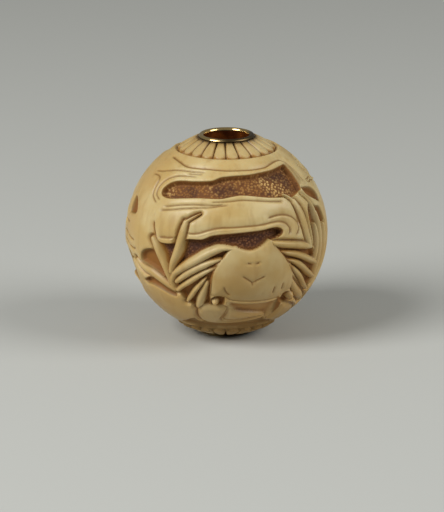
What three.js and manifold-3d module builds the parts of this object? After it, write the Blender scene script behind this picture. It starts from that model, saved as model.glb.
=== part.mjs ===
import * as THREE from 'three';
import { ConvexGeometry } from 'three/addons/geometries/ConvexGeometry.js';
import { mergeVertices } from 'three/addons/utils/BufferGeometryUtils.js';
import Module from 'manifold-3d';

// A carved cord bead: one ball of ivory, drilled through, with crabs among waves cut in low relief,
// a collar of petals round each end of the hole, and a brass lining with a rolled rim at each end.
// Millimetres, +Z along the hole, origin on the surface that the lower rim rests on.

// Driving dimensions
const ballDiameter = 17.5;
const holeDiameter = 3.9;
const liningWall = 0.2;
const liningClearance = 0.05;
const rimWidth = 0.45;
const rimHeight = 0.24;
const rimLand = 0.12;
const rimClearance = 0.02;
const seatMargin = 0.08;
const seatTrim = 0.025;
const cutterOverrun = 1;

// How far the carving goes below the turned ball, and how wide its walls slope
const bandDepth = 0.04;
const upperGroundDepth = 0.6;
const lowerGroundDepth = 0.8;
const legFieldDepth = 0.62;
const pitDepth = 0.55;
const wedgeDepth = 0.42;
const footGroundDepth = 0.45;
const faceDepth = 0.62;
const socketDepth = 0.6;
const groundWall = 0.2;
const pitWall = 0.45;
const faceWall = 1.15;
const socketWall = 0.28;
const ledgeDepth = 0.17;
const ledgeWidth = 0.8;
const lineDepth = 0.13;
const lineWidth = 0.2;

// The crab's shell and claws are plates whose edges slope down, its limbs have round backs whose tops lie
// at shares of the limb depth, and a trench runs round each of them
const shellEdge = 0.24;
const shellRise = 1.8;
const clawTop = 0.06;
const clawEdge = 0.26;
const clawRise = 0.6;
const plateWall = 0.13;
const limbDepth = 1;
const limbFall = 0.42;
const limbRoundness = 2.3;
const plateRoundness = 1.5;
const trenchDepth = 0.4;
const trenchWidth = 0.42;
const smallReliefLossShare = 0.5;

// The petal collar round each end of the hole, measured along the ball's surface. It stands proud of
// the ball at the seat and falls outwards.
const upperCollarStand = 0.05;
const upperCollarFall = 0.22;
const lowerCollarStand = 0.2;
const lowerCollarFall = 0.04;
const collarReach = 4.55;
const collarLip = 0.16;
const petalCount = 22;
const petalCrown = 0.05;
const petalTip = 0.45;
const petalEdge = 0.17;
const seatGroove = 0.34;
const tipGroove = 0.2;
const petalSlantShare = 0.35;
const petalShoulderShare = 0.28;
const petalStationShares = [0, 0.45, 0.85];

// Facets: how far apart the corners stand along a cut, at least, and on plain ground
const cornerStep = 0.52;
const cornerGap = 0.19;
const plainGap = 1.2;
const plainDetail = 12;
const edgeInset = 0.13;
const trenchLaneShare = 0.7;
const limbStepShare = 1.5;
const eyeSides = 8;
const curveSteps = 3;
const turnSteps = 48;
const rimArcSteps = 3;

// Colours
const ivory = new THREE.MeshStandardMaterial({ color: 0xd3bd8c, roughness: 0.42, metalness: 0 });
const brass = new THREE.MeshStandardMaterial({ color: 0x8a6834, roughness: 0.3, metalness: 1 });

const ballRadius = ballDiameter / 2;
const holeRadius = holeDiameter / 2;
const liningRadius = holeRadius + liningWall;
const boreRadius = liningRadius + liningClearance;
const rimRadius = holeRadius + rimWidth;
const seatRadius = rimRadius + seatMargin;
const oneDegree = ballRadius * THREE.MathUtils.degToRad(1);

// Each end of the hole: which way it faces, how its collar stands, and where the rim's seat is cut
function end(side, stand, fall) {
  const seat = Math.sqrt((ballRadius + stand) ** 2 - seatRadius ** 2) - seatTrim;
  return { side, stand, fall, seat, rimFoot: seat + rimClearance };
}

const upperEnd = end(1, upperCollarStand, upperCollarFall);
const lowerEnd = end(-1, lowerCollarStand, lowerCollarFall);

// Places on the ball are [longitude, latitude] in degrees. Longitude 0 faces -Y and grows towards +X.
// A third number is a half width, in degrees too, so the whole carving follows the ball's size. A fourth
// is the depth of a limb's top, as a share of the limb depth.
const upperGround = [
  [-49.7, 34.7], [-48.5, 37], [-45.5, 39.8], [-41, 41.8], [-35, 42.8], [-27, 43.3], [-18, 44], [-11, 44.8],
  [-5, 47], [3, 47.9], [20, 48.3], [40, 49.2], [55, 50.4], [61.5, 50.2], [62.3, 46], [62, 38], [61, 33],
  [57, 32], [52, 30.8], [47, 30], [40, 31.2], [30, 32.3], [20, 34], [10, 35.2], [3, 34.4], [-5, 33.2],
  [-20, 33], [-30, 31.9], [-40, 30.5], [-46, 30.8], [-48.8, 32.2],
];
const lowerGround = [
  [-44, 6.8], [-40, 5.7], [-35, 5.9], [-30, 7.2], [-24, 9.8], [-15, 10.4], [-12, 11.3], [-9, 12.6],
  [-4, 13.6], [5, 14.3], [20, 15.1], [27, 15.9], [31.5, 15.6], [34.4, 13.8], [34.2, 11.6], [31, 9.6],
  [27, 8.8], [24, 6], [18, 1], [12, -1], [0, -1], [-8, -3], [-18, -6], [-28, -9], [-34, -11.5],
  [-37.8, -11], [-40.6, -5], [-43, 1],
];
const legFields = [
  [
    [4, 2], [-6, 5], [-14, 1], [-22, -4], [-30, -10.5], [-33, -16], [-32.5, -22], [-30, -26.5],
    [-27.5, -30], [-24, -33], [-20, -35.5], [-13, -34.5], [-9.5, -31], [-9, -24], [-8, -17], [-7, -12],
    [-4, -4],
  ],
  [
    [24, 8.5], [31, 8.3], [40, 6.3], [50, 4], [57, 1.5], [62, -4], [68, -12], [69, -20], [66, -27],
    [60, -29], [55, -26.5], [50, -22.5], [46, -18.5], [43, -14], [40, -9], [36, -5], [31, 1],
  ],
  [
    [58.5, 22], [62, 25], [66, 23.5], [70, 21.5], [76, 19], [79.5, 10], [79.5, -5], [77, -14], [72, -18.5],
    [69, -14], [65.5, -13.5], [62, -9.5], [59.5, -3], [58, 5], [57, 12], [57, 18],
  ],
];
const pits = [
  [
    [-58.4, -4.5], [-55.5, -1.4], [-50.9, 0.6], [-46.5, 1.3], [-44.2, -1.6], [-41.5, -6], [-38.6, -11],
    [-37.6, -17], [-42.1, -15.2], [-48, -12.2], [-54, -11], [-58.4, -9.4],
  ],
  [[-80, 24], [-76, 25.5], [-71, 23.5], [-67, 19], [-68.5, 15.5], [-76, 14], [-80, 15.5]],
  [
    [61, 34.3], [67, 34], [74, 32.2], [80, 28], [81.5, 22.5], [78, 20.5], [72, 23.4], [66, 26.5],
    [62, 30.3],
  ],
];
const flankHollow = [
  [-70, -8], [-76, -5.5], [-86, -5], [-94, -9], [-97, -18], [-95, -27], [-87, -33], [-77, -34], [-71, -31],
  [-69.5, -27.5], [-74, -25], [-80, -22.5], [-74, -20.5], [-69, -16],
];
const wedges = [
  [
    [-60, -21.4], [-57, -19.2], [-53, -17.4], [-48, -18.4], [-43, -20.8], [-37, -23.6], [-33, -25],
    [-32.3, -27.2], [-35, -27.2], [-39, -25.8], [-43, -24.2], [-48, -22.7], [-53, -22], [-57, -22.6],
  ],
];
const shellFace = [
  [-2.6, -32.6], [-1, -29], [1.2, -25.8], [4, -26.9], [8, -27.7], [13, -28.3], [22, -28.9], [31, -28.8],
  [35, -27.8], [38.4, -28], [41.5, -33.5], [42, -39], [41, -46], [38, -51], [30, -52], [20, -51.3],
  [10, -50], [4, -47], [1.2, -42], [-0.6, -37],
];
const sockets = [
  [
    [-11.4, -31.3], [-10.6, -26.6], [-7.9, -24.9], [-4.5, -24.5], [-1, -24.9], [-0.4, -27.5], [-1.2, -31.2],
    [-4, -33], [-8.8, -33.2],
  ],
  [
    [36.6, -29.6], [38.2, -26.4], [41.6, -25.3], [45.5, -25.8], [49.6, -29], [50.6, -32.6], [46.6, -35],
    [40.9, -34.4], [37, -32.4],
  ],
];
const footGround = [
  [-52, -56], [-46, -52.5], [-40, -50.5], [-36, -48.8], [-31, -46.3], [-26, -45], [-22, -48.5],
  [-10, -50.3], [0, -50.4], [10, -50], [20, -49], [28, -47.4], [34, -47], [38, -50], [44, -53], [52, -55.2],
  [62, -56.6], [70, -57.3], [70, -59], [40, -60], [0, -60], [-40, -59.5],
];

// Wave lines. A ledge is sharp on one side and fades over a wide slope on the other.
const ledges = [
  [
    [-70, 55], [-45, 52.8], [-35, 51.8], [-20, 52], [0, 51.4], [20, 51.2], [35, 51.4], [42, 52.3],
    [54, 53.8], [62, 53], [67, 49], [69, 42], [69.5, 35],
  ],
  [
    [-43.5, 8.3], [-36, 8.9], [-30, 10], [-24, 12.8], [-19, 13], [-15, 13.9], [-11, 15.3], [-5, 16.8],
    [5, 17.3], [15, 17.6], [22, 17.9], [28, 18.6], [33, 18.5], [37, 17], [39.3, 14.2], [39, 11.6],
    [36.6, 9.6],
  ],
  [
    [24, 20.6], [28, 21.6], [32, 22.1], [37, 21.8], [42, 20], [45.6, 16.8], [46.6, 13.4], [45, 10.4],
    [42, 8.6],
  ],
  [[-43.6, 7], [-44.5, 10], [-45.5, 15.8]],
];
const fineLines = [
  [[-12, 31], [0, 31.8], [10, 32.5], [20, 31.6], [30, 30.2], [40.5, 28.8]],
  [[-44, 25.2], [-40, 26.1], [-30, 28.2], [-23, 29.1], [-8, 29.6]],
  [[-46, 22.8], [-44.7, 23], [-34.7, 25], [-30, 26], [-20, 27.4], [-11, 28.2]],
  [[-72, 43], [-62, 44.7], [-55, 46.4], [-46, 48.2], [-30, 49.1], [-16, 49.5]],
  [[-46, 28], [-52.3, 30.7], [-54, 35], [-51.3, 40.2], [-45, 43.8], [-37, 45.5], [-22, 46]],
  [[-72, 40.6], [-64, 41.6], [-58.5, 40], [-57.6, 34], [-55.5, 29.5], [-48, 25.6]],
  [[-36, 47.2], [-28, 47.7], [-18, 47.9]],
  [[-74, 2.6], [-66, 1], [-59, 2.2], [-53, 3.8]],
  [[-74, -2.8], [-66, -3.6], [-62, -2]],
  [[-74, -10], [-68, -9.4], [-64, -10.5]],
  [[60, 40], [65, 37], [70, 33.5]],
  [[46.2, 27], [46.4, 22.5], [47, 18], [47.8, 13]],
];

// The crab: its shell, the grooves on it, its claws, its eyes, and its limbs from the body outwards
const shellOutline = [
  [14, 2.9], [12, 3.1], [9.8, 3.7], [7, 4.8], [5, 5.8], [3, 4.8], [0.4, 2.2], [-1.6, -0.6], [-3.4, -3],
  [-5, -5.6], [-6.6, -8.6], [-7.7, -12], [-8.3, -16], [-8.8, -20], [-9.2, -23.6], [-7.5, -24.7],
  [-4.5, -24.6], [-1.4, -24.4], [0.2, -25.8], [3.4, -27.6], [8, -28.5], [13, -29.1], [22, -29.7],
  [31, -29.6], [35.6, -28.6], [37.6, -26.4], [40.4, -25.2], [43.6, -24.2], [44.3, -20.6], [43.3, -16.6],
  [41.6, -12.8], [39.6, -9.2], [37, -5.4], [34.6, -2], [32, 1.2], [29.6, 4], [28.2, 6], [27, 8.2],
  [25.6, 8.6], [23.8, 7], [21.6, 5.5], [19.4, 4.2], [16.8, 3.3],
];
const shellGrooves = [
  [[8.2, -9.9], [10.3, -11.7], [13, -13.6], [14.9, -15.4], [15.2, -18.6]],
  [[23.2, -11.2], [21, -12.4], [18.6, -13.4], [16.2, -14.6], [15.3, -16.4]],
  [[11.6, -3.4], [14.4, -3.8]],
  [[16.9, -3.8], [18.8, -3.4]],
  [[-1.4, -16.4], [-1, -19.4], [0.4, -22.3], [3.2, -24.8]],
  [[30.1, -18.6], [29.6, -22], [29.8, -25.2]],
  [[35.6, -17], [35.6, -20.5], [36.1, -23.8]],
];
const claws = [
  [
    [0.4, -34.3], [-1.8, -32.5], [-5.5, -32.4], [-10.1, -32.2], [-13.9, -32.2], [-17.9, -33.3],
    [-21.4, -37], [-23.1, -42.3], [-21.9, -47.3], [-16.9, -50.5], [-7.6, -51.5], [1.9, -51.6], [11.2, -51],
    [20.4, -49.8], [29.6, -48.2], [33.2, -45.9], [26.4, -46.4], [18.7, -47], [12, -48.1], [7.6, -48.7],
    [-1.2, -48.6], [-4.4, -47.2], [-4.6, -45.2], [-2.5, -41.9], [-0.9, -38.3],
  ],
  [
    [2.2, -35.1], [5.9, -38.1], [11.8, -40.2], [17.5, -41.5], [23.5, -42.6], [29, -43.8], [31.8, -44.6],
    [26.2, -45.1], [18.6, -45.6], [10.2, -46.8], [6.8, -47.2], [1.5, -46.6], [-2.7, -45.1], [-1, -41.9],
    [0.6, -38.3],
  ],
  [
    [43.4, -35.4], [49.2, -36], [56, -38.8], [64, -42], [72, -46], [75, -50], [71, -53.6], [64, -56],
    [56, -56.6], [49, -55.6], [43, -53.6], [38.6, -51.6], [36.6, -48.8], [38.6, -46], [40.4, -42.6],
    [41.6, -38.5],
  ],
];
const eyes = [
  [-7.4, -29.2, 2.1], [46.4, -29.6, 2.4],
];
const limbs = [
  [[-11.5, -16, 1.8, 0.3], [-14.2, -22, 2.6, 0.16], [-16.8, -28, 3.1, 0.1], [-19.3, -34, 2.7, 0.1]],
  [
    [-12, -13, 1, 0.36], [-14, -15, 1.3, 0.22], [-17, -18.7, 1.6, 0.1], [-20, -22.2, 1.7, 0.08],
    [-23, -26.3, 1.7, 0.08], [-26.2, -30, 1.4, 0.1],
  ],
  [
    [-6.6, -6.4, 1.4, 0.38], [-12.4, -9.4, 1.9, 0.2], [-18, -13, 2.1, 0.12], [-23, -16.6, 2.1, 0.1],
    [-28, -20, 1.9, 0.08], [-31.5, -23, 1.6, 0.08],
  ],
  [
    [-33.5, -22.6, 2.2, 0.07], [-38.5, -20.1, 2.7, 0.05], [-44, -17.4, 3, 0.04], [-50, -14.9, 3.1, 0.04],
    [-56, -13.8, 2.9, 0.04], [-60.5, -12.2, 2.5, 0.05], [-63.6, -9.6, 1.8, 0.06],
  ],
  [
    [-3.2, -0.6, 1.3, 0.36], [-8.6, -2.4, 2.1, 0.2], [-14, -4.8, 2.5, 0.12], [-19.4, -7.8, 2.6, 0.1],
    [-25, -11.6, 2.4, 0.08], [-31, -17, 1.9, 0.07],
  ],
  [
    [-35.2, -18.4, 2.4, 0.08], [-36.8, -12.6, 2.7, 0.06], [-38.8, -7.4, 2.9, 0.05], [-41.2, -2.7, 3, 0.05],
    [-43.8, 1.7, 3, 0.04], [-46.9, 6.4, 2.4, 0.05],
  ],
  [
    [4.5, 5.6, 1.2, 0.26], [-1, 5.9, 1.9, 0.12], [-6, 4.9, 2.6, 0.07], [-12, 2.3, 2.8, 0.05],
    [-17, -0.9, 2.8, 0.04], [-22, -4.2, 2.8, 0.04], [-27, -7.8, 2.6, 0.04], [-32, -12, 2.3, 0.05],
  ],
  [[-32, -12, 2.3, 0.05], [-34.5, -17, 2.3, 0.06], [-34, -22, 2.1, 0.07]],
  [[-24.6, 19.5, 1.3, 0.06], [-22, 21.3, 1.1, 0.05], [-19, 23.1, 0.9, 0.05], [-16.2, 24.6, 0.5, 0.06]],
  [
    [-34, -11, 2, 0.04], [-32.4, -5.5, 2.6, 0.02], [-30, 0, 2.9, 0.01], [-28.3, 5, 3, 0],
    [-27.1, 10, 2.9, 0], [-26, 15, 2.7, 0.01], [-25.2, 19, 2.1, 0.03],
  ],
  [
    [43, -17.5, 1.6, 0.3], [46.5, -22.5, 2.6, 0.12], [51, -27, 3.1, 0.08], [57, -31, 3.2, 0.06],
    [64, -35, 3, 0.06], [70, -39, 2.4, 0.1],
  ],
  [
    [41.5, -9, 1.1, 0.4], [44, -11.6, 1.7, 0.2], [48, -15.3, 2.1, 0.1], [52, -19, 2.2, 0.08],
    [57, -23.8, 2.1, 0.07], [65, -29, 1.7, 0.1],
  ],
  [
    [38, -4.8, 1, 0.4], [42, -6.2, 1.5, 0.2], [47, -8.7, 2, 0.1], [52, -12, 2.1, 0.08],
    [58, -16.2, 2.1, 0.07], [68, -21.6, 1.8, 0.08],
  ],
  [
    [69, -25.5, 1.7, 0.1], [74, -17.5, 2.3, 0.07], [77, -8, 2.5, 0.06], [77.6, 3, 2.4, 0.06],
    [76.4, 13, 1.9, 0.08],
  ],
  [
    [34, 0.8, 1.2, 0.36], [38, -0.6, 1.8, 0.18], [43, -2, 2, 0.1], [48, -3.9, 2.1, 0.08],
    [54, -6.6, 2.1, 0.06], [64.6, -11.6, 1.9, 0.06],
  ],
  [
    [67, -18.5, 1.8, 0.08], [68.8, -9, 2.3, 0.06], [69.4, 1, 2.5, 0.05], [69, 10, 2.4, 0.05],
    [67.2, 17.6, 1.9, 0.07],
  ],
  [[66.6, 19, 1.5, 0.08], [65, 23.4, 1.3, 0.07], [61.8, 27.5, 1, 0.07], [57.8, 31, 0.6, 0.08]],
  [
    [62.6, -11, 1.9, 0.08], [63.6, -4.6, 2.3, 0.06], [64, 2, 2.4, 0.05], [63.6, 8.6, 2.2, 0.06],
    [61.8, 15, 1.6, 0.08],
  ],
  [
    [25.5, 7.3, 1.4, 0.2], [30, 6.3, 2.2, 0.08], [35, 5.2, 2.5, 0.05], [41, 4, 2.6, 0.04],
    [47, 2.6, 2.6, 0.03], [53, 0.9, 2.4, 0.04], [57, -0.4, 1.8, 0.08],
  ],
  [[48, 28.4, 1.6, 0.07], [45.2, 31, 1.2, 0.07], [41.6, 33.2, 0.6, 0.08]],
  [
    [56, 0.5, 2.2, 0.05], [54.6, 4.5, 2.8, 0.02], [53.3, 9, 3.1, 0.01], [52.6, 14, 3.3, 0.01],
    [51.8, 19, 3.4, 0.01], [50.6, 23.5, 3.1, 0.02], [48.6, 28, 2.2, 0.04],
  ],
];

// Where the smaller crab on the flank sits: its middle, how far it is turned, and its size as a share
// of the first crab's
const crabMiddle = [16.5, -17];
const smallCrabMiddle = [103, -33];
const smallCrabTurn = 115;
const smallCrabShare = 0.36;

// The whole scene is cut once more on the far side, turned half a turn about a level axis
const farSideAxis = [106, 0];

function direction([longitude, latitude]) {
  const east = THREE.MathUtils.degToRad(longitude);
  const up = THREE.MathUtils.degToRad(latitude);
  return new THREE.Vector3(Math.cos(up) * Math.sin(east), -Math.cos(up) * Math.cos(east), Math.sin(up));
}

function ease(share) {
  const t = THREE.MathUtils.clamp(share, 0, 1);
  return t * t * (3 - 2 * t);
}

function fade(distance, reach) {
  return THREE.MathUtils.clamp(1 - distance / reach, 0, 1) ** 2;
}

// Moves a direction that was drawn round one middle to another middle, turned and scaled there
function carried(vector, from, to, turnDegrees, share) {
  const middle = direction(from);
  const swing = new THREE.Quaternion().setFromUnitVectors(middle, direction(to));
  const turn = new THREE.Quaternion().setFromAxisAngle(direction(to), THREE.MathUtils.degToRad(turnDegrees));
  const away = middle.angleTo(vector);
  const axis = new THREE.Vector3().crossVectors(middle, vector).normalize();
  const near = middle.clone().applyAxisAngle(axis, away * share);
  return near.applyQuaternion(swing).applyQuaternion(turn);
}

const asDrawn = { carry: (vector) => vector, share: 1 };
const asSmallCrab = {
  carry: (vector) => carried(vector, crabMiddle, smallCrabMiddle, smallCrabTurn, smallCrabShare),
  share: smallCrabShare,
};

// A path holds points on the ball, the half widths and depths along it, and a circle that bounds it
function path(places, closed, drawing) {
  const curve = new THREE.CatmullRomCurve3(places.map(direction), closed, 'catmullrom', 0.5);
  const steps = (closed ? places.length : places.length - 1) * curveSteps;
  const points = [];
  const widths = [];
  const tops = [];
  for (let step = 0; step <= steps; step += 1) {
    const along = step / curveSteps;
    const before = places[Math.floor(along) % places.length];
    const after = places[Math.ceil(along) % places.length];
    const between = (index) => THREE.MathUtils.lerp(before[index] ?? 0, after[index] ?? 0, along % 1);
    points.push(drawing.carry(curve.getPoint(step / steps).normalize()).multiplyScalar(ballRadius));
    widths.push(between(2) * oneDegree * drawing.share);
    tops.push(between(3) * limbDepth);
  }
  const middle = points.reduce((sum, point) => sum.add(point), new THREE.Vector3()).setLength(ballRadius);
  const reach = Math.max(...points.map((point) => point.distanceTo(middle)));
  return { points, widths, tops, middle, reach };
}

function isNear(route, margin, point) {
  return point.distanceTo(route.middle) < route.reach + margin;
}

// The distance from a point to a path, less the path's own half width there, with that width, the depth
// and the side that the point lies on
const edge = new THREE.Vector3();
const gap = new THREE.Vector3();
const normal = new THREE.Vector3();
function nearest(route, point) {
  const best = { distance: Infinity, width: 0, top: 0, side: 1 };
  for (let i = 0; i + 1 < route.points.length; i += 1) {
    edge.subVectors(route.points[i + 1], route.points[i]);
    gap.subVectors(point, route.points[i]);
    const share = THREE.MathUtils.clamp(gap.dot(edge) / Math.max(edge.lengthSq(), Number.MIN_VALUE), 0, 1);
    const width = THREE.MathUtils.lerp(route.widths[i], route.widths[i + 1], share);
    const top = THREE.MathUtils.lerp(route.tops[i], route.tops[i + 1], share);
    const distance = gap.addScaledVector(edge, -share).length() - width;
    if (distance < best.distance) {
      normal.crossVectors(route.points[i], route.points[i + 1]);
      Object.assign(best, { distance, width, top, side: Math.sign(normal.dot(point)) || 1 });
    }
  }
  return best;
}

// Whether a point lies inside a closed path, seen flat from the path's middle
function encloses(route, point) {
  if (!route.flat) {
    const forward = route.middle.clone().normalize();
    const right = new THREE.Vector3(forward.y, -forward.x, 0).normalize();
    const up = new THREE.Vector3().crossVectors(right, forward);
    route.flatten = (p) => [p.dot(right) / p.dot(forward), p.dot(up) / p.dot(forward), p.dot(forward)];
    route.flat = route.points.map(route.flatten);
  }
  const [x, y, ahead] = route.flatten(point);
  let inside = false;
  for (let i = 0; i + 1 < route.flat.length; i += 1) {
    const [x0, y0] = route.flat[i];
    const [x1, y1] = route.flat[i + 1];
    if ((y0 > y) !== (y1 > y) && x < x0 + ((x1 - x0) * (y - y0)) / (y1 - y0)) inside = !inside;
  }
  return inside && ahead > 0;
}

// Places at even steps along a path, with the way it runs there and its half width
function stations(route, step) {
  const spans = route.points.slice(1).map((point, i) => point.distanceTo(route.points[i]));
  const length = spans.reduce((sum, span) => sum + span, 0);
  const count = Math.max(2, Math.round(length / step));
  const found = [];
  let passed = 0;
  let at = 0;
  for (let i = 0; i <= count; i += 1) {
    const along = (length * i) / count;
    while (at + 1 < spans.length && passed + spans[at] < along) {
      passed += spans[at];
      at += 1;
    }
    const share = Math.min((along - passed) / spans[at], 1);
    const forward = route.points[at + 1].clone().sub(route.points[at]).normalize();
    const point = route.points[at].clone().addScaledVector(forward, share * spans[at]);
    const width = THREE.MathUtils.lerp(route.widths[at], route.widths[at + 1], share);
    found.push({ point, forward, width });
  }
  return found;
}

// A lane of corners beside a path, to its left where the offset is positive
function lane(route, step, offset) {
  return stations(route, step).map(({ point, forward, width }) => {
    const left = new THREE.Vector3().crossVectors(point, forward).normalize();
    return point.clone().addScaledVector(left, offset(width)).setLength(ballRadius);
  });
}

// Lanes beside a closed path: inside it where the offset is positive
function rings(route, step, offsets) {
  return offsets.flatMap((offset) => {
    const both = [...lane(route, step, () => offset), ...lane(route, step, () => -offset)];
    return both.filter((point) => encloses(route, point) === offset > 0);
  });
}

const coversNothing = () => false;

// Each tool cuts: it takes a point on the ball and the depth there, and gives the depth after its cut.
// Its marks name the corners that its cut needs, along its ridges and beside them, and where they cover
// the corners marked before them.
function sink(places, floorDepth, wall) {
  const route = path(places, true, asDrawn);
  const wide = wall > 2 * cornerStep;
  const ridges = lane(route, cornerStep, () => 0);
  const sides = rings(route, cornerStep, wide ? [wall / 2, wall] : [wall]);
  const cut = (point, depth) => {
    if (!isNear(route, 0, point) || !encloses(route, point)) return depth;
    return Math.max(depth, floorDepth * ease(nearest(route, point).distance / wall));
  };
  return { cut, marks: [{ ridges, sides, covers: coversNothing }] };
}

function incise(places, cutDepth, leftWidth, rightWidth, drawing) {
  const route = path(places, false, drawing);
  const widths = [leftWidth * drawing.share, -rightWidth * drawing.share];
  const ridges = lane(route, cornerStep, () => 0);
  const sides = widths.flatMap((offset) => lane(route, cornerStep, () => offset));
  const cut = (point, depth) => {
    if (!isNear(route, Math.max(leftWidth, rightWidth), point)) return depth;
    const { distance, side } = nearest(route, point);
    return depth + cutDepth * fade(distance, (side > 0 ? leftWidth : rightWidth) * drawing.share);
  };
  return { cut, marks: [{ ridges, sides, covers: coversNothing }] };
}

// A form stands up out of the ground: it gives its corners, and measures how far outside it a point lies
function limb(places, drawing) {
  const route = path(places, false, drawing);
  const widest = Math.max(...route.widths);
  const trench = trenchWidth * drawing.share;
  const flanks = [(width) => width, (width) => width + trench * trenchLaneShare];
  const backs = widest > 2 * cornerGap ? [(width) => width / 2, (width) => -width / 2] : [() => 0];
  const lanes = [...flanks, ...flanks.map((flank) => (width) => -flank(width))];
  const step = Math.min(cornerStep, widest * limbStepShare);
  const ridges = backs.flatMap((offset) => lane(route, step, offset));
  const sides = lanes.flatMap((offset) => lane(route, step, offset));
  const stops = stations(route, step);
  for (const [stop, way] of [[stops[0], -1], [stops[stops.length - 1], 1]]) {
    for (const flank of flanks) {
      const tip = stop.point.clone().addScaledVector(stop.forward, way * flank(stop.width));
      sides.push(tip.setLength(ballRadius));
    }
  }
  return {
    ridges,
    sides,
    near: (point) => isNear(route, widest + trench, point),
    measure: (point) => nearest(route, point),
  };
}

function eye([longitude, latitude, halfWidth], drawing) {
  const middle = drawing.carry(direction([longitude, latitude])).multiplyScalar(ballRadius);
  const radius = halfWidth * oneDegree * drawing.share;
  const trench = trenchWidth * drawing.share;
  const right = new THREE.Vector3(-middle.y, middle.x, 0).normalize();
  const sides = [];
  for (let step = 0; step < eyeSides; step += 1) {
    const spoke = right.clone().applyAxisAngle(middle.clone().normalize(), (step / eyeSides) * 2 * Math.PI);
    for (const away of [radius / 2, radius, radius + trench * trenchLaneShare]) {
      sides.push(middle.clone().addScaledVector(spoke, away).setLength(ballRadius));
    }
  }
  return {
    ridges: [middle],
    sides,
    near: (point) => point.distanceTo(middle) < 2 * radius + trench,
    measure: (point) => ({ distance: point.distanceTo(middle) - radius, width: radius, top: 0 }),
  };
}

function plate(places, top, edgeDepth, rise, drawing) {
  const route = path(places, true, drawing);
  const trench = trenchWidth * drawing.share;
  const wall = plateWall * drawing.share;
  const slope = rise * drawing.share;
  const edges = [edgeInset * drawing.share, -wall / 2];
  const offsets = [slope / 2, slope, -trench * trenchLaneShare];
  const measure = (point) => {
    const { distance } = nearest(route, point);
    const inner = top + edgeDepth * fade(distance, slope);
    const outer = top + edgeDepth + limbFall * (distance / wall) ** plateRoundness;
    return encloses(route, point) ? { distance: -distance, crest: inner } : { distance, crest: outer };
  };
  return {
    ridges: rings(route, cornerStep * Math.sqrt(drawing.share), edges),
    sides: rings(route, cornerStep * Math.sqrt(drawing.share), offsets),
    near: (point) => isNear(route, trench, point),
    measure,
  };
}

// The crab: trenches first, then the limbs and eyes standing up out of them, then the shell and claws
function crab(drawing) {
  const relief = 1 - smallReliefLossShare * (1 - drawing.share);
  const trench = trenchWidth * drawing.share;
  const rounds = [
    ...limbs.map((places) => limb(places, drawing)),
    ...eyes.map((place) => eye(place, drawing)),
  ];
  const plates = [
    plate(shellOutline, 0, shellEdge, shellRise, drawing),
    ...claws.map((places) => plate(places, clawTop, clawEdge, clawRise, drawing)),
  ];
  const grooves = shellGrooves.map((places) => incise(places, lineDepth, lineWidth, lineWidth, drawing));
  const here = (forms, point) => forms.filter(({ near }) => near(point)).map(({ measure }) => measure(point));
  const cut = (point, depth) => {
    const roundsHere = here(rounds, point);
    const platesHere = here(plates, point);
    let carved = depth;
    for (const { distance } of [...roundsHere, ...platesHere]) {
      carved = Math.max(carved, trenchDepth * relief * fade(Math.max(distance, 0), trench));
    }
    for (const { distance, width, top } of roundsHere) {
      const share = Math.max(distance + width, 0) / width;
      carved = Math.min(carved, (top + limbFall * share ** limbRoundness) * relief);
    }
    for (const { distance, crest } of platesHere) {
      carved = distance <= 0 ? crest * relief : Math.min(carved, crest * relief);
    }
    return grooves.reduce((sum, groove) => groove.cut(point, sum), carved);
  };
  const marks = [...rounds, ...plates].map(({ ridges, sides, near, measure }) => ({
    ridges,
    sides,
    covers: (point) => near(point) && measure(point).distance < 0,
  }));
  return { cut, marks: [...marks, ...grooves.flatMap((groove) => groove.marks)] };
}

const tools = [
  sink(upperGround, upperGroundDepth, groundWall),
  sink(lowerGround, lowerGroundDepth, groundWall),
  ...legFields.map((places) => sink(places, legFieldDepth, pitWall)),
  ...pits.map((places) => sink(places, pitDepth, pitWall)),
  ...wedges.map((places) => sink(places, wedgeDepth, socketWall)),
  sink(footGround, footGroundDepth, pitWall),
  sink(shellFace, faceDepth, faceWall),
  ...ledges.map((places) => incise(places, ledgeDepth, ledgeWidth, lineWidth, asDrawn)),
  ...fineLines.map((places) => incise(places, lineDepth, lineWidth, lineWidth, asDrawn)),
  crab(asSmallCrab),
  ...sockets.map((places) => sink(places, socketDepth, socketWall)),
  crab(asDrawn),
];

// A ring of petals round the hole, each with a round tip, and a groove between it and the next that
// runs out under the rim
function collar(point, depth) {
  const along = ballRadius * Math.acos(Math.min(Math.abs(point.z) / ballRadius, 1));
  if (along > collarReach + collarLip) return depth;
  const { stand, fall } = point.z > 0 ? upperEnd : lowerEnd;
  const outward = THREE.MathUtils.clamp((along - seatRadius) / (collarReach - seatRadius), 0, 1);
  const ring = ballRadius * Math.sin(Math.max(along, boreRadius) / ballRadius);
  const slant = (petalSlantShare * (collarReach - along)) / collarReach;
  const turn = (Math.atan2(point.x, -point.y) / (2 * Math.PI)) * petalCount + slant;
  const halfWidth = (Math.PI * ring) / petalCount;
  const across = Math.abs(turn - Math.floor(turn) - 0.5) * 2 * halfWidth;
  const tip = collarReach - halfWidth + Math.sqrt(halfWidth ** 2 - across ** 2) - along;
  const top = fall * outward - stand;
  const runOut = ease((along - boreRadius) / (seatRadius - boreRadius));
  const groove = THREE.MathUtils.lerp(seatGroove, tipGroove, outward) * runOut;
  const floor = top + petalCrown + groove;
  if (along > collarReach) return Math.max(depth, floor * (1 - (along - collarReach) / collarLip));
  const crown = petalCrown * ((across / halfWidth) ** 2 + fade(Math.max(tip, 0), petalTip));
  return top + crown * runOut + groove * fade(Math.min(halfWidth - across, tip), petalEdge);
}

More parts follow.
